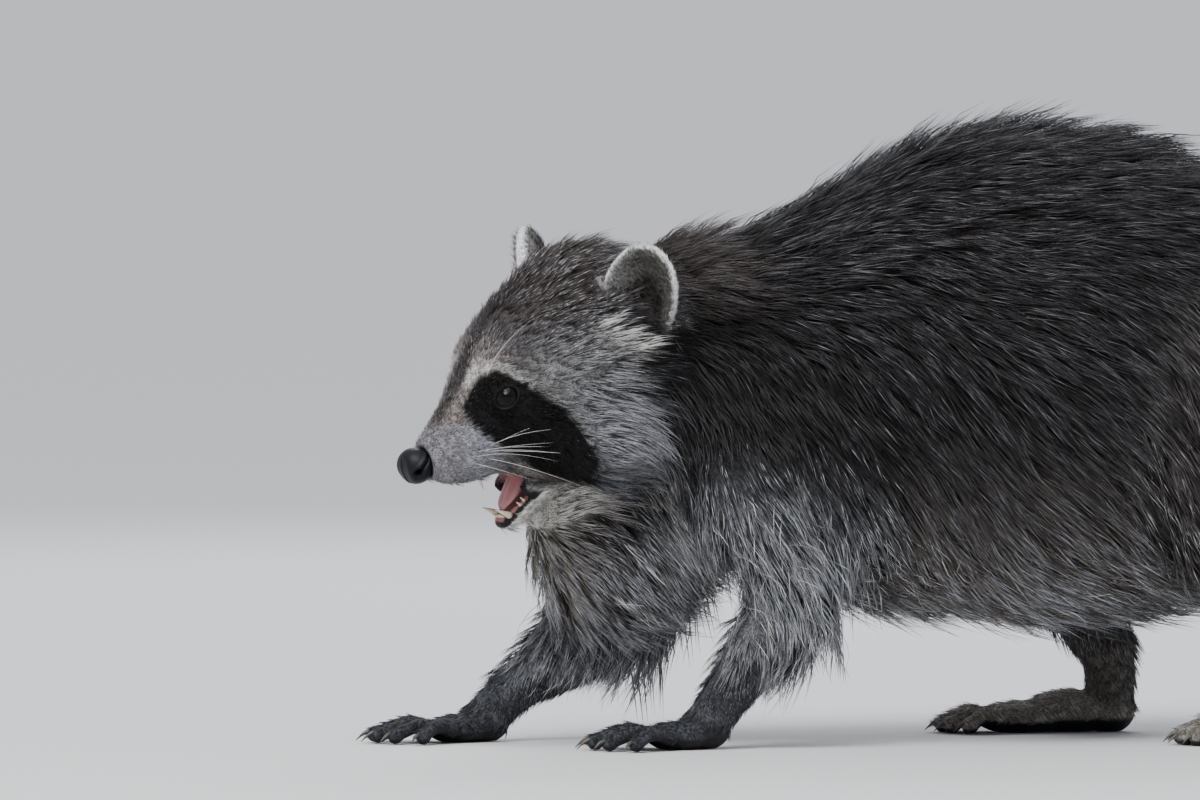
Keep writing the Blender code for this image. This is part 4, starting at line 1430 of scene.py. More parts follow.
def furTree():
    tree = bpy.data.node_groups.new("furOnSkin", "GeometryNodeTree")
    tree.interface.new_socket("Geometry", in_out="INPUT", socket_type="NodeSocketGeometry")
    for name, kind, value in furInputs:
        socket = tree.interface.new_socket(name, in_out="INPUT", socket_type=kind)
        if value is not None:
            socket.default_value = value
    tree.interface.new_socket("Geometry", in_out="OUTPUT", socket_type="NodeSocketGeometry")
    t = Tree(tree)
    given = t.add("NodeGroupInput").outputs
    seed = given["Seed"]

    onPart = t.add("FunctionNodeCompare", {
        2: t.named("coatPart", "INT"), 3: given["Part"],
    }, data_type="INT", operation="EQUAL").outputs[0]
    roots = t.add("GeometryNodeDistributePointsOnFaces", {
        "Mesh": given["Geometry"], "Selection": onPart, "Distance Min": given["Spacing"],
        "Density Max": given["Density"], "Seed": seed,
        "Density Factor": t.math("DIVIDE", t.named("furDensity", "FLOAT"), given["Density"]),
    }, distribute_method="POISSON")

    up = t.named("up", "FLOAT_VECTOR")
    turned = t.random(t.math("MULTIPLY", given["Turn"], -1.0), given["Turn"], t.nth(seed, 1))
    lain = t.add("ShaderNodeVectorRotate", {
        "Vector": t.named("lie", "FLOAT_VECTOR"), "Axis": up, "Angle": turned,
    }, rotation_type="AXIS_ANGLE").outputs[0]
    spread = t.random(t.math("MULTIPLY", given["Rise"], -1.0), given["Rise"], t.nth(seed, 2))
    rise = t.math("MULTIPLY", t.named("furLift", "FLOAT"), t.math("ADD", spread, 1.0))
    along = t.vector("ADD", t.scaled(lain, t.math("COSINE", rise)), t.scaled(up, t.math("SINE", rise)))
    way = t.add("FunctionNodeAxesToRotation", {
        "Primary Axis": along, "Secondary Axis": up,
    }, primary_axis="X", secondary_axis="Z").outputs[0]

    locks = t.add("GeometryNodeCollectionInfo", {
        "Collection": given["Locks"], "Separate Children": True, "Reset Children": True,
    }).outputs[0]
    share = t.random(given["Shortest"], given["Longest"], t.nth(seed, 3))
    placed = t.add("GeometryNodeInstanceOnPoints", {
        "Points": roots.outputs["Points"], "Instance": locks, "Pick Instance": True,
        "Instance Index": t.random(0, 50, seed, "INT"), "Rotation": way,
        "Scale": t.math("MULTIPLY", t.named("furLength", "FLOAT"), share),
    }).outputs[0]
    seeded = t.add("GeometryNodeStoreNamedAttribute", {
        "Geometry": placed, "Name": "tuftSeed", "Value": t.random(0.0, 1.0, t.nth(seed, 4)),
    }, data_type="FLOAT", domain="INSTANCE").outputs[0]
    solid = t.add("GeometryNodeRealizeInstances", {"Geometry": seeded}).outputs[0]
    patch = t.scaled(t.named("tuftUv", "FLOAT_VECTOR"), given["Patch"])
    mapped = t.add("GeometryNodeStoreNamedAttribute", {
        "Geometry": solid, "Name": "OFBake", "Value": t.vector("ADD", t.named("rootUv", "FLOAT_VECTOR"), patch),
    }, data_type="FLOAT2", domain="CORNER").outputs[0]
    painted = t.add("GeometryNodeSetMaterial", {"Geometry": mapped, "Material": given["Material"]})
    t.add("NodeGroupOutput", {0: painted.outputs[0]})
    return tree


hairAboveFloor = 0.0004
keptOnHair = (
    "along", "strandSeed", "tuftSeed", "coatColour", "tipColour", "fleck", "OFBake", "position", "material_index",
)


def grow(name, roots, values):
    # values by input name; the rest keep the tree's defaults
    step = roots.modifiers.new("fur", "NODES")
    step.node_group = tree
    keys = {item.name: item.identifier for item in tree.interface.items_tree if item.in_out == "INPUT"}
    for key, value in (furDefaults | values).items():
        step[keys[key]] = value
    roots.update_tag()
    bpy.context.view_layer.update()
    graph = bpy.context.evaluated_depsgraph_get()
    mesh = bpy.data.meshes.new_from_object(roots.evaluated_get(graph), preserve_all_data_layers=True, depsgraph=graph)
    roots.modifiers.clear()
    for spare in [a.name for a in mesh.attributes if not a.is_required and not a.name.startswith(".")]:
        if spare not in keptOnHair:
            mesh.attributes.remove(mesh.attributes[spare])
    made = link(name, mesh)
    liftedToFloor(made, hairAboveFloor)
    print(name, len(mesh.polygons), "triangles")
    return made


def furDensity():
    # locks per square metre that give each piece its layers of cover
    found = np.zeros(len(points))
    for number, (locks, layers, _, _) in enumerate(coatPieces.values()):
        family = lockFamilies[locks]
        chosen = np.unique(corners[part == number])
        width = family["spread"] + 2 * family["halfWidth"]
        middling = furLength[chosen].mean()
        found[chosen] = layers / (middling**0.8 * furLength[chosen] ** 1.2 * width)
    return found * furCover


def makeRoots(length, lift, wanted, partOfFace):
    # a copy of the skin that carries what the fur tree reads
    made = link("furRoots", skin.data.copy())
    store(made.data, "lie", lie)
    store(made.data, "up", normals)
    store(made.data, "furLength", length)
    store(made.data, "furLift", lift)
    store(made.data, "furDensity", wanted)
    store(made.data, "coatPart", partOfFace, "FACE")
    flatUv = rootUv.reshape(-1, 2)
    store(made.data, "rootUv", np.concatenate([flatUv, np.zeros((len(flatUv), 1))], axis=1), "CORNER")
    return made


store(skin.data, "coatColour", coatColour)
store(skin.data, "tipColour", tipColour)
store(skin.data, "fleck", fleck)
store(skin.data, "furCover", furCover)
part = pieceOfFaces()
density = furDensity()
roots = makeRoots(furLength, furLift, density, part)

# materials
def group(name, inputs, output):
    tree = bpy.data.node_groups.new(name, "ShaderNodeTree")
    for label, kind, value in inputs:
        socket = tree.interface.new_socket(label, in_out="INPUT", socket_type=kind)
        socket.default_value = value
    tree.interface.new_socket(output[0], in_out="OUTPUT", socket_type=output[1])
    t = Tree(tree)
    return t, t.add("NodeGroupInput").outputs, t.add("NodeGroupOutput").inputs[0]


def shaderMix(t, amount, a, b):
    made = t.add("ShaderNodeMix", data_type="RGBA", clamp_result=True)
    for number, value in ((0, amount), (6, a), (7, b)):
        t.feed(made.inputs[number], value)
    return made.outputs[2]


def smoothStep(t, value, low, high, fromValue=0.0, toValue=1.0):
    ends = {"Value": value, "From Min": low, "From Max": high, "To Min": fromValue, "To Max": toValue}
    return t.add("ShaderNodeMapRange", ends, interpolation_type="SMOOTHSTEP").outputs[0]


def attribute(t, name, output="Fac"):
    return t.add("ShaderNodeAttribute", attribute_type="GEOMETRY", attribute_name=name).outputs[output]


def hairGroup():
    # colour along a hair: dark below, its own colour, a pale band, a dark tip, with painted shade darkening it
    # towards the root
    t, given, out = group("hairColour", (
        ("Own", "NodeSocketColor", (0.2, 0.2, 0.2, 1)),
        ("Band", "NodeSocketColor", (0.5, 0.5, 0.5, 1)),
        ("Under", "NodeSocketColor", (0.05, 0.045, 0.04, 1)),
        ("Fleck", "NodeSocketFloat", 0.3),
        ("Along", "NodeSocketFloat", 0.5),
        ("Strand", "NodeSocketFloat", 0.5),
        ("Tuft", "NodeSocketFloat", 0.5),
        ("Under Share", "NodeSocketFloat", 0.8),
        ("Root Painted Shade", "NodeSocketFloat", 0.45),
        ("Variation", "NodeSocketFloat", 0.35),
    ), ("Colour", "NodeSocketColor"))
    along, variation = given["Along"], given["Variation"]

    def drawn(byStrand, byTuft):
        # a number from 0 to 1 for each strand
        parts = t.math("MULTIPLY", given["Strand"], byStrand), t.math("MULTIPLY", given["Tuft"], byTuft)
        return t.math("FRACT", t.math("ADD", *parts))

    chance, other = drawn(7.31, 3.77), drawn(3.17, 11.3)
    has = smoothStep(t, t.math("SUBTRACT", given["Fleck"], chance), -0.10, 0.14)
    start = t.math("ADD", 0.46, t.math("MULTIPLY", other, 0.22))
    rise = smoothStep(t, along, start, t.math("ADD", start, 0.14))
    fall = smoothStep(t, along, t.math("ADD", start, 0.26), t.math("ADD", start, 0.42), 1.0, 0.35)
    banded = t.math("MULTIPLY", has, t.math("MULTIPLY", rise, fall))
    under = shaderMix(t, given["Under Share"], given["Own"], given["Under"])
    rooted = shaderMix(t, smoothStep(t, along, 0.05, 0.50), under, given["Own"])
    shown = shaderMix(t, banded, rooted, given["Band"])
    lowest = t.math("SUBTRACT", 1.0, t.math("MULTIPLY", variation, 0.5))
    third = t.math("FRACT", t.math("ADD", chance, t.math("MULTIPLY", other, 0.37)))
    tone = t.math("ADD", lowest, t.math("MULTIPLY", variation, third))
    # painted shade: each hair is darkened towards its root, where the coat shades it
    shade = smoothStep(t, along, 0.0, 0.55, given["Root Painted Shade"], 1.0)
    t.feed(out, t.scaled(shown, t.math("MULTIPLY", tone, shade)))
    return t.tree


def grainGroup():
    # fine hair-like grain in the object's own coordinates
    t, given, out = group("fineGrain", (
        ("Size", "NodeSocketFloat", 0.0012),
        ("Contrast", "NodeSocketFloat", 0.5),
    ), ("Value", "NodeSocketFloat"))
    place = t.add("ShaderNodeTexCoord").outputs["Object"]
    scale = t.math("DIVIDE", 1.0, given["Size"])
    noise = t.add("ShaderNodeTexNoise", {"Vector": place, "Scale": scale, "Detail": 4.0, "Roughness": 0.6})
    centred = t.math("SUBTRACT", noise.outputs["Fac"], 0.5)
    t.feed(out, t.math("ADD", 0.5, t.math("MULTIPLY", centred, given["Contrast"])))
    return t.tree


def streakGroup():
    # long streaks that run one way
    t, given, out = group("hairStreaks", (
        ("Way", "NodeSocketVector", (1.0, 0.0, 0.0)),
        ("Size", "NodeSocketFloat", 0.0007),
        ("Stretch", "NodeSocketFloat", 12.0),
    ), ("Value", "NodeSocketFloat"))
    place, way = t.add("ShaderNodeTexCoord").outputs["Object"], given["Way"]
    along = t.add("ShaderNodeVectorMath", {0: place, 1: way}, operation="DOT_PRODUCT").outputs["Value"]
    kept = t.math("MULTIPLY", along, t.math("SUBTRACT", t.math("DIVIDE", 1.0, given["Stretch"]), 1.0))
    squeezed = t.vector("ADD", place, t.scaled(way, kept))
    scale = t.math("DIVIDE", 1.0, given["Size"])
    noise = t.add("ShaderNodeTexNoise", {"Vector": squeezed, "Scale": scale, "Detail": 2.0})
    t.feed(out, smoothStep(t, noise.outputs["Fac"], 0.30, 0.70))
    return t.tree


hairTree, grainTree, streakTree = hairGroup(), grainGroup(), streakGroup()


def material(name, roughness, specular=0.5, coat=0.0, coatRoughness=0.03):
    made = bpy.data.materials.new(name)
    made.use_nodes = True
    inputs = made.node_tree.nodes["Principled BSDF"].inputs
    inputs["Roughness"].default_value = roughness
    inputs["Specular IOR Level"].default_value = specular
    inputs["Coat Weight"].default_value = coat
    inputs["Coat Roughness"].default_value = coatRoughness
    return made, Tree(made.node_tree), inputs


def placeGroup(t, tree, values):
    return t.add("ShaderNodeGroup", values, node_tree=tree).outputs[0]


def bumped(t, inputs, height, strength, distance):
    bump = t.add("ShaderNodeBump", {"Strength": strength, "Distance": distance, "Height": height})
    t.feed(inputs["Normal"], bump.outputs[0])


coatLooks = {
    # painted shade at the root, variation between strands, colour at the root and its share
    "furFace": (0.80, 0.30, (0.035, 0.031, 0.030, 1), 0.10),
    "furEars": (0.85, 0.20, (0.10, 0.09, 0.085, 1), 0.05),
    "furHead": (0.50, 0.45, (0.022, 0.019, 0.018, 1), 0.60),
    "furBody": (0.40, 0.80, (0.035, 0.028, 0.024, 1), 0.80),
    "furLegs": (0.45, 0.50, (0.045, 0.042, 0.042, 1), 0.80),
    "furPaws": (0.72, 0.40, (0.018, 0.018, 0.020, 1), 0.10),
    "furTail": (0.45, 0.40, (0.040, 0.032, 0.027, 1), 0.80),
}


def coatMaterial(name):
    made, t, inputs = material(name, 0.55, specular=0.18)
    rootPaintedShade, variation, under, underShare = coatLooks[name]
    hair = placeGroup(t, hairTree, {
        "Own": attribute(t, "coatColour", "Color"), "Band": attribute(t, "tipColour", "Color"), "Under": under,
        "Fleck": attribute(t, "fleck"), "Along": attribute(t, "along"), "Strand": attribute(t, "strandSeed"),
        "Tuft": attribute(t, "tuftSeed"), "Root Painted Shade": rootPaintedShade, "Variation": variation, "Under Share": underShare,
    })
    t.feed(inputs["Base Color"], hair)
    return made


def skinMaterial():
    made, t, inputs = material("skinUnderCoat", 0.6, specular=0.16)
    grain = placeGroup(t, grainTree, {"Size": 0.0008, "Contrast": 1.2})
    overBody = placeGroup(t, streakTree, {"Way": (0.64, 0.0, -0.77)})
    overHead = placeGroup(t, streakTree, {"Way": tuple(headTurn.to_3x3() @ Vector((1, 0, 0))), "Size": 0.0005})
    onHead, cover = attribute(t, "onHead"), attribute(t, "furCover")
    rest = t.math("MULTIPLY", overBody, t.math("SUBTRACT", 1.0, onHead))
    streak = t.math("ADD", t.math("MULTIPLY", overHead, onHead), rest)
    # the skin's colour here carries painted shade under long hair
    hair = t.scaled(attribute(t, "skinColourInPaintedShade", "Color"), smoothStep(t, streak, 0.0, 1.0, 0.35, 1.15))
    t.feed(inputs["Base Color"], shaderMix(t, cover, attribute(t, "bareColour", "Color"), hair))
    t.feed(inputs["Roughness"], smoothStep(t, cover, 0.0, 1.0, 0.50, 0.80))
    bumped(t, inputs, grain, 0.35, 0.0004)
    return made


def bareColours():
    # black lids, lips and soles, pink inside the mouth
    x, y, _ = folded(inJaw)
    betweenLips = readTable(hx, (0.012, 0.0050), (0.034, 0.0125), (0.060, 0.0150))
    betweenGums = readTable(x, (0, 0.0042), (0.011, 0.0068), (0.032, 0.0115))
    gum = mouthInside * np.maximum.reduce([
        share("head", "lower") * (hy < 0.0120) * (hx > 0.044),
        share("head") * fade(hy / betweenLips, 0.50, 0.72),
        share("lower") * fade(y / betweenGums, 0.75, 1.0),
    ])
    colour = paint(allOver("leather"), ease(-eyeDistance(), -0.9, -0.5), "lid")
    colour = paint(colour, gum, "gum")
    return paint(colour, onEars * earHollow, "earSkin")


# painted shade: the skin under long hair is darkened as the shade deep in the coat
paintedShadeUnderHair = 1 - 0.50 * ease(furLength, 0.0060, 0.0140)
store(skin.data, "skinColourInPaintedShade", coatColour * paintedShadeUnderHair[:, None])
store(skin.data, "onHead", headShare)
store(skin.data, "bareColour", bareColours())
coatMaterials = {name: coatMaterial(name) for name in coatLooks}
skin.data.materials.clear()
skin.data.materials.append(skinMaterial())

locks = makeLocks()
tree = furTree()
firstSeed = 40
spacingShare = 0.45  # of the gap that even spacing at the greatest density would leave
coat = {}
for number, (name, (family, _, _, look)) in enumerate(coatPieces.items()):
    thickest = float(density[np.unique(corners[part == number])].max())
    coat[name] = grow(name, roots, {
        "Locks": locks[family], "Part": number, "Density": thickest, "Spacing": spacingShare / math.sqrt(thickest),
        "Seed": firstSeed + number, "Material": coatMaterials[look],
    })
remove(roots)

# long pale wisps over breast, shoulder and forearm
wisps = {"length": 0.044, "perSquareMetre": 21000, "lift": 27, "pale": 0.80, "spacing": 0.0016, "seed": 77}


def whereWisps():
    along = inPlan[:, 0]
    where = share("foreleg_left_upper", "foreleg_right_upper") * ease(height, 0.036, 0.050)
    where = where * fade(height, 0.085, 0.125)
    where += onLowerArms * ease(height, 0.032, 0.044) * ease(normals[:, 0], -0.5, 0.3)
    breast = 0.6 * onShoulders * fade(height, 0.085, 0.125) * (0.20 + 0.80 * ease(along, 0.030, 0.070))
    where += breast * ease(along, -0.030, 0.0) * fade(along, 0.100, 0.170)
    where += 0.45 * share("chest", "loin") * band(height, 0.040, 0.070, 0.020) * ease(along, 0.080, 0.130)
    return np.clip(where, 0, 1) * furCover


def growWisps():
    length = wisps["length"] * (0.80 + 0.20 * broad[:, 0]) * (1 - 0.35 * onLowerArms)
    lift = np.full(len(points), math.radians(wisps["lift"]))
    wanted = whereWisps() * wisps["perSquareMetre"]
    source = makeRoots(length, lift, wanted, np.zeros(len(corners), int))
    marks = source.data.attributes
    marks["fleck"].data.foreach_set("value", np.full(len(points), wisps["pale"], np.float32))
    marks["tipColour"].data.foreach_set("vector", allOver("wispTip").astype(np.float32).ravel())
    made = grow("coatWisps", source, {
        "Locks": locks["wisp"], "Density": float(wanted.max()), "Spacing": wisps["spacing"],
        "Seed": wisps["seed"], "Material": coatMaterials["furLegs"],
    })
    remove(source)
    return made


coatWisps = growWisps()

# eyeballs
cornea = {"reach": 0.62, "rise": 0.0005}
# from the pupil outwards: where each colour gives way to the next, as shares of the eye's radius
eyeRings = (
    (0.30, 0.36, (0.0040, 0.0022, 0.0016, 1)),
    (0.56, 0.66, (0.002, 0.0015, 0.0015, 1)),
    (0.80, 0.90, (0.004, 0.003, 0.003, 1)),
)


def eyeball(side):
    axes = eyeAxes(side)
    radius = eyeShape["radius"]
    made = polarBall("eyeball_left" if side < 0 else "eyeball_right", axes, (radius,) * 3, around=64, across=48)
    p = inAxes(axes, coordsOf(made.data))
    away = np.hypot(p[:, 1], p[:, 2]) / radius
    front = p[:, 0] > 0
    bulge = front * cornea["rise"] * fade(away, 0.0, cornea["reach"])
    p += unit(p) * bulge[:, None]
    setCoords(made.data, toWorld(axes, p))
    store(made.data, "away", np.where(front, away, 1.0))
    return smoothShaded(made)


def eyeMaterial():
    made, t, inputs = material("eyeWet", 0.06, specular=0.16)
    away, shown = attribute(t, "away"), (0.0005, 0.0005, 0.0005, 1)
    for start, end, colour in eyeRings:
        shown = shaderMix(t, smoothStep(t, away, start, end), shown, colour)
    t.feed(inputs["Base Color"], shown)
    return made


eyeLook = eyeMaterial()
eyes = [eyeball(side) for side in (-1, 1)]
for eye in eyes:
    eye.data.materials.append(eyeLook)

# nose
nose = {
    "centre": (0.0080, 0.0, -0.0035),
    "radii": (0.0081, 0.0093, 0.0083),
    "flattening": 0.0012,
    "nostril": (0.0048, -0.0056),  # back from the tip, up
    "nostrilRadius": 0.0019,
    "nostrilDepth": 0.0032,
    "slitWidth": 0.00085,
    "slitDepth": 0.0016,
    "slitEnd": 0.0135,
    "grooveWidth": 0.0006,
    "grooveDepth": 0.0007,
    "rimHeight": 0.0005,
}


def noseLeather():
    centre, radii = nose["centre"], nose["radii"]
    made = polarBall("nosePad", head @ Matrix.Translation(centre), radii, around=120, across=90)
    p = inAxes(head, coordsOf(made.data))
    x, y, z = folded(p)
    outward = unit((p - np.array(centre)) / np.array(radii) ** 2)
    # flatter front, square upper corners
    p[:, 0] += nose["flattening"] * fade(x, 0.0, 0.004) * fade(y, 0.002, 0.007)
    cx, cz = nose["nostril"]
    hole = np.exp(-((np.hypot(x - cx, z - cz) / nose["nostrilRadius"]) ** 3)) * ease(y, 0.0022, 0.0036)
    slitLine = cz + 0.0004 + 0.55 * (x - cx) + 14 * (x - cx) ** 2
    slit = np.exp(-((z - slitLine) / nose["slitWidth"]) ** 2) * band(x, cx, nose["slitEnd"], 0.0012)
    slit = slit * ease(y, 0.003, 0.005)
    groove = np.exp(-(y / nose["grooveWidth"]) ** 2) * (x < 0.006) * fade(z, 0.000, 0.003)
    rim = np.exp(-((z - slitLine - 0.0022) / 0.0011) ** 2) * band(x, cx - 0.001, 0.011, 0.002) * ease(y, 0.003, 0.005)
    push = -nose["nostrilDepth"] * hole - nose["slitDepth"] * slit
    push = push - nose["grooveDepth"] * groove + nose["rimHeight"] * rim
    p += outward * push[:, None]
    setCoords(made.data, toWorld(head, p))
    # painted shade deep in the nostrils and their slits
    store(made.data, "paintedNostrilShade", np.clip(hole + 0.8 * slit, 0, 1))
    return smoothShaded(made)


def noseMaterial():
    made, t, inputs = material("noseLeather", 0.42, specular=0.16, coat=0.03, coatRoughness=0.25)
    place = t.add("ShaderNodeTexCoord").outputs["Object"]
    cells = t.add("ShaderNodeTexVoronoi", {"Vector": place, "Scale": 1500.0}, feature="DISTANCE_TO_EDGE")
    bumped(t, inputs, cells.outputs["Distance"], 0.5, 0.00030)
    # the leather is painted near black in the nostrils as their shade
    dark = shaderMix(t, attribute(t, "paintedNostrilShade"), (0.0055, 0.0062, 0.0090, 1), (0.0005, 0.0005, 0.0005, 1))
    t.feed(inputs["Base Color"], dark)
    return made


nosePad = noseLeather()
nosePad.data.materials.append(noseMaterial())

# teeth and tongue
def horn(name, place, base, tip, radius, bend=(0, 0, 0), sides=12, rings=9, blunt=0.12):
    # a curved cone from base to tip in the axes of place
    base, tip, bend = Vector(base), Vector(tip), Vector(bend)
    rows = []
    for i in range(rings):
        t = i / (rings - 1)
        middle = base.lerp(tip, t) + bend * math.sin(math.pi * t)
        width = radius * max(blunt, (1 - t) ** 0.75)
        rows.append((*middle, width, width))
    return limb(name, rows, place, sides=sides, perSpan=1)


# back, out and up in the head's or the jaw's axes, for the left and the right side
teethShape = {
    "upperCanine": {"base": (0.0345, 0.0088, -0.0110), "tip": (0.0335, 0.0098, -0.0232), "radius": 0.0018,
                    "bend": (-0.0008, 0, 0)},
    "lowerCanine": {"base": (0.0054, 0.0052, -0.0014), "tip": (0.0030, 0.0061, 0.0066), "radius": 0.0017,
                    "bend": (0.0, 0.0007, 0)},
    "cheekTeeth": ((0.0118, 0.0008), (0.0145, 0.0009), (0.0174, 0.0010), (0.0208, 0.0012)),  # back, radius
    "incisors": 3,
    "incisorGap": 0.0012,
    "incisorRadius": 0.00062,
}


def teethPieces():
    made = []
    for side in (-1, 1):
        for name, axes in (("upperCanine", head), ("lowerCanine", jaw)):
            shape = teethShape[name]
            base, tip, bend = (mirrored(shape[key], side) for key in ("base", "tip", "bend"))
            made.append(horn(name, axes, base, tip, shape["radius"], bend))
        for x, size in teethShape["cheekTeeth"]:
            out = 0.0050 + 0.20 * x
            base, tip = (x, side * out, -0.0020), (x, side * (out - 0.0003), size * 0.45)
            made.append(horn("cheekTooth", jaw, base, tip, size, sides=10, rings=7, blunt=0.45))
        for i in range(teethShape["incisors"]):
            y = side * (0.0007 + teethShape["incisorGap"] * i)
            base, tip = (0.0032 + 0.0002 * i, y, -0.0006), (0.0024 + 0.0003 * i, y, 0.0022)
            made.append(horn("incisor", jaw, base, tip, teethShape["incisorRadius"], sides=8, rings=5, blunt=0.6))
    return made


def tongueFlesh():
    # stations of x, top, bottom, half width in the jaw's axes, then a shallow groove along the middle
    stations = (
        (0.0066, 0.0020, 0.0006, 0.0022),
        (0.0085, 0.0034, 0.0004, 0.0042),
        (0.0120, 0.0046, -0.0002, 0.0055),
        (0.0180, 0.0062, -0.0012, 0.0061),
        (0.0270, 0.0074, -0.0012, 0.0066),
        (0.0335, 0.0079, -0.0010, 0.0068),
    )
    made = loft("tongueFlesh", stations, jaw, sides=28, perSpan=5)
    p = inAxes(jaw, coordsOf(made.data))
    p[:, 2] -= 0.0009 * np.exp(-(p[:, 1] / 0.0010) ** 2) * (p[:, 2] > 0.002)
    setCoords(made.data, toWorld(jaw, p))
    return smoothShaded(made)


def plainLook(name, colour, roughness, grainSize=0.0006, **constants):
    made, t, inputs = material(name, roughness, **constants)
    grain = placeGroup(t, grainTree, {"Size": grainSize, "Contrast": 1.0})
    darker = tuple(0.82 * c for c in colour)
    t.feed(inputs["Base Color"], shaderMix(t, grain, (*darker, 1), (*colour, 1)))
    bumped(t, inputs, grain, 0.5, 0.00008)
    return made


teeth = smoothShaded(joined("teeth", teethPieces()))
ivory = plainLook("ivory", (0.72, 0.63, 0.48), 0.28, grainSize=0.002, coat=0.4, coatRoughness=0.15)
teeth.data.materials.append(ivory)
tongue = tongueFlesh()
tongue.data.materials.append(plainLook("tonguePink", (0.42, 0.185, 0.19), 0.42, coat=0.3, coatRoughness=0.2))

# claws
clawShape = {
    "rootAhead": 0.0005,
    "rootAbove": 0.0012,
    "tipAhead": 0.0020,
    "share": 0.80,  # of the claw's length that stands out
    "tipBelow": 0.0030,
    "radius": 0.00135,
    "arch": 0.0013,
}


def clawPieces():
    up, made = Vector((0, 0, 1)), []
    for name in paws:
        lines, shape = digitLines(name)
        ahead = clawShape["tipAhead"] + shape["claw"] * clawShape["share"]
        for _, end, out in lines:
            root = end + out * clawShape["rootAhead"] + up * clawShape["rootAbove"]
            tip = end + out * ahead - up * clawShape["tipBelow"]
            made.append(horn(
                "claw", pawPlace(name)[0], root, tip, clawShape["radius"], up * clawShape["arch"], sides=10, rings=8,
                blunt=0.10,
            ))
    return made


claws = smoothShaded(joined("claws", clawPieces()))
liftedToFloor(claws, body["skinAboveFloor"])
claws.data.materials.append(plainLook("clawHorn", (0.060, 0.050, 0.042), 0.35, grainSize=0.0015))

# whiskers
whiskers = {
    "seed": 15,
    "rows": 3,
    "perRow": 3,
    "overEye": 2,
    "onChin": 7,
    "thickness": 0.00012,
    "taper": 0.80,
    "pieces": 8,
    "rootDepth": 0.0004,
}
skinTree = BVHTree.FromPolygons([Vector(p) for p in points], corners.tolist())


def whisker(near, out, sag, length):
    # rooted in the skin nearest to a place, sagging towards its tip
    spot, normal, _, _ = skinTree.find_nearest(near)
    root = spot - normal * whiskers["rootDepth"]
    rows = []
    for i in range(whiskers["pieces"] + 1):
        t = i / whiskers["pieces"]
        place = root + (head.to_3x3() @ (out * t + sag * t * t)) * length
        width = whiskers["thickness"] * (1 - whiskers["taper"] * t)
        rows.append((*place, width, width))
    return limb("whisker", rows, sides=4, perSpan=1)


def whiskerPieces():
    rng = np.random.default_rng(whiskers["seed"])
    made = []
    for side in (-1, 1):
        for row in range(whiskers["rows"]):
            for i in range(whiskers["perRow"]):
                x = 0.027 + 0.0050 * i + rng.uniform(-0.0008, 0.0008)
                z = -0.0025 - 0.0030 * row - 0.10 * (x - 0.027) + rng.uniform(-0.0005, 0.0005)
                length = rng.uniform(0.028, 0.066) + 0.0050 * i - 0.0020 * row
                fan = 0.24 - 0.24 * row + rng.uniform(-0.16, 0.16)
                out = Vector((0.50 + 0.08 * i, side * rng.uniform(0.75, 0.95), fan)).normalized()
                sag = Vector((0.42, -side * 0.42, -0.20 - 0.30 * rng.uniform()))
                made.append(whisker(head @ Vector((x, side * 0.030, z)), out, sag, length))
        for i in range(whiskers["overEye"]):
            place = head @ Vector((0.040 + 0.002 * i, side * 0.020, 0.030 + 0.001 * i))
            out = Vector((0.2, side * 0.5, 0.9 + 0.1 * i)).normalized()
            made.append(whisker(place, out, Vector((0.6, 0, -0.1)), rng.uniform(0.018, 0.030)))
    for i in range(whiskers["onChin"]):
        side = (-1) ** i
        place = jaw @ Vector((0.010 + 0.004 * i, side * 0.005, -0.02))
        out = Vector((0.25, side * 0.35, -0.9)).normalized()
        made.append(whisker(place, out, Vector((0.45, 0, 0)), rng.uniform(0.012, 0.020)))
    return made


whiskerPiece = smoothShaded(joined("whiskers", whiskerPieces()))
whiskerPiece.data.materials.append(plainLook("whiskerHair", (0.62, 0.60, 0.57), 0.40, grainSize=0.004))
print("small parts done")

for name in regionNames:
    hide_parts(name)
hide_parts("nose")
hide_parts("tongue")
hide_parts("eye_left")
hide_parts("eye_right")
for made in (skin, nosePad, tongue, teeth, claws, whiskerPiece, *eyes, *coat.values(), coatWisps):
    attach(made, "root")

# floor, lights and camera
stageLook = {
    # the far floor and the world come out equally bright: world = floor / (1 - floor) * sun
    "floor": (0.60, 0.60, 0.60, 1),
    "floorHeight": -0.0002,
    "radius": 40.0,
    "world": (0.585, 0.60, 0.64, 1),
    "worldStrength": 1.20,
}
softLights = {
    "key": {"place": (-1.5, -1.6, 2.6), "aim": (-0.1, 0, 0.12), "size": 1.8, "power": 72,
            "colour": (1.0, 0.99, 0.97)},
    "catch": {"place": (-1.15, -1.10, 1.30), "aim": (-0.25, -0.05, 0.15), "size": 0.16, "power": 5,
              "colour": (0.90, 0.95, 1.0)},
    "back": {"place": (0.8, 2.4, 1.9), "aim": (0, 0, 0.15), "size": 1.6, "power": 42, "colour": (0.92, 0.96, 1.0)},
}
skyLight = {"degrees": (28, -14, 0), "strength": 1.75, "softness": 50, "colour": (0.96, 0.98, 1.0)}


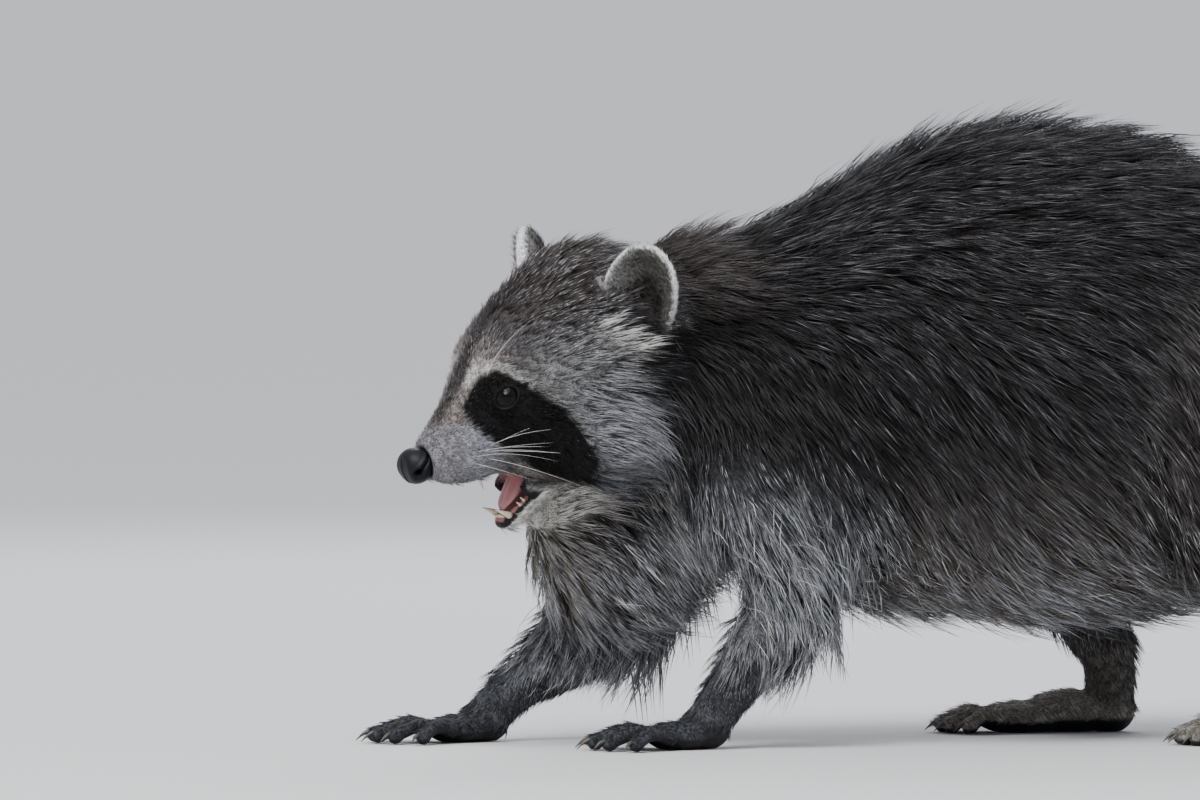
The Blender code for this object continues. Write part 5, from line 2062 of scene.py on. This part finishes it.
def floorDisc():
    bm = bmesh.new()
    bmesh.ops.create_circle(bm, cap_ends=True, radius=stageLook["radius"], segments=96)
    made = fromBmesh("floor", bm)
    if made.data.polygons[0].normal.z < 0:
        made.data.flip_normals()
    made.location.z = stageLook["floorHeight"]
    look, t, inputs = material("floorPaint", 0.9)
    t.feed(inputs["Base Color"], stageLook["floor"])
    made.data.materials.append(look)


def softLight(name, place, aim, size, power, colour):
    data = bpy.data.lights.new(name, "AREA")
    data.shape = "DISK"
    data.size, data.energy, data.color = size, power, colour
    made = link(name, data)
    made.location = place
    made.rotation_euler = (Vector(aim) - Vector(place)).to_track_quat("-Z", "Y").to_euler()
    made.visible_camera = False


def sunLight(name, degrees, strength, softness, colour):
    data = bpy.data.lights.new(name, "SUN")
    data.energy, data.angle, data.color = strength, math.radians(softness), colour
    made = link(name, data)
    made.rotation_euler = [math.radians(v) for v in degrees]


def worldLight():
    world = bpy.data.worlds.new("studio")
    bpy.context.scene.world = world
    world.use_nodes = True
    shade = world.node_tree.nodes["Background"]
    shade.inputs[0].default_value = stageLook["world"]
    shade.inputs[1].default_value = stageLook["worldStrength"]


floorDisc()
worldLight()
for name, facts in softLights.items():
    softLight(name, **facts)
sunLight("sky", **skyLight)

shot = {
    "azimuth": -15.0,
    "elevation": 1.07,
    "distance": 5.0,
    "film": 36.0,
    "lens": 330.0,
    "clipEnd": 200.0,
    "aim": Vector((0, 0, 0.1568)),  # in the plan
}


def placeCamera():
    data = bpy.data.cameras.new("photoCamera")
    data.sensor_width, data.lens, data.clip_end = shot["film"], shot["lens"], shot["clipEnd"]
    made = link("photoCamera", data)
    a, e = math.radians(shot["azimuth"]), math.radians(shot["elevation"])
    back = Vector((math.sin(a) * math.cos(e), -math.cos(a) * math.cos(e), math.sin(e)))
    made.location = plan @ shot["aim"] + back * shot["distance"]
    made.rotation_mode = "QUATERNION"
    made.rotation_quaternion = (-back).to_track_quat("-Z", "Y")
    bpy.context.scene.camera = made


placeCamera()
bpy.context.scene.view_settings.view_transform = "AgX"
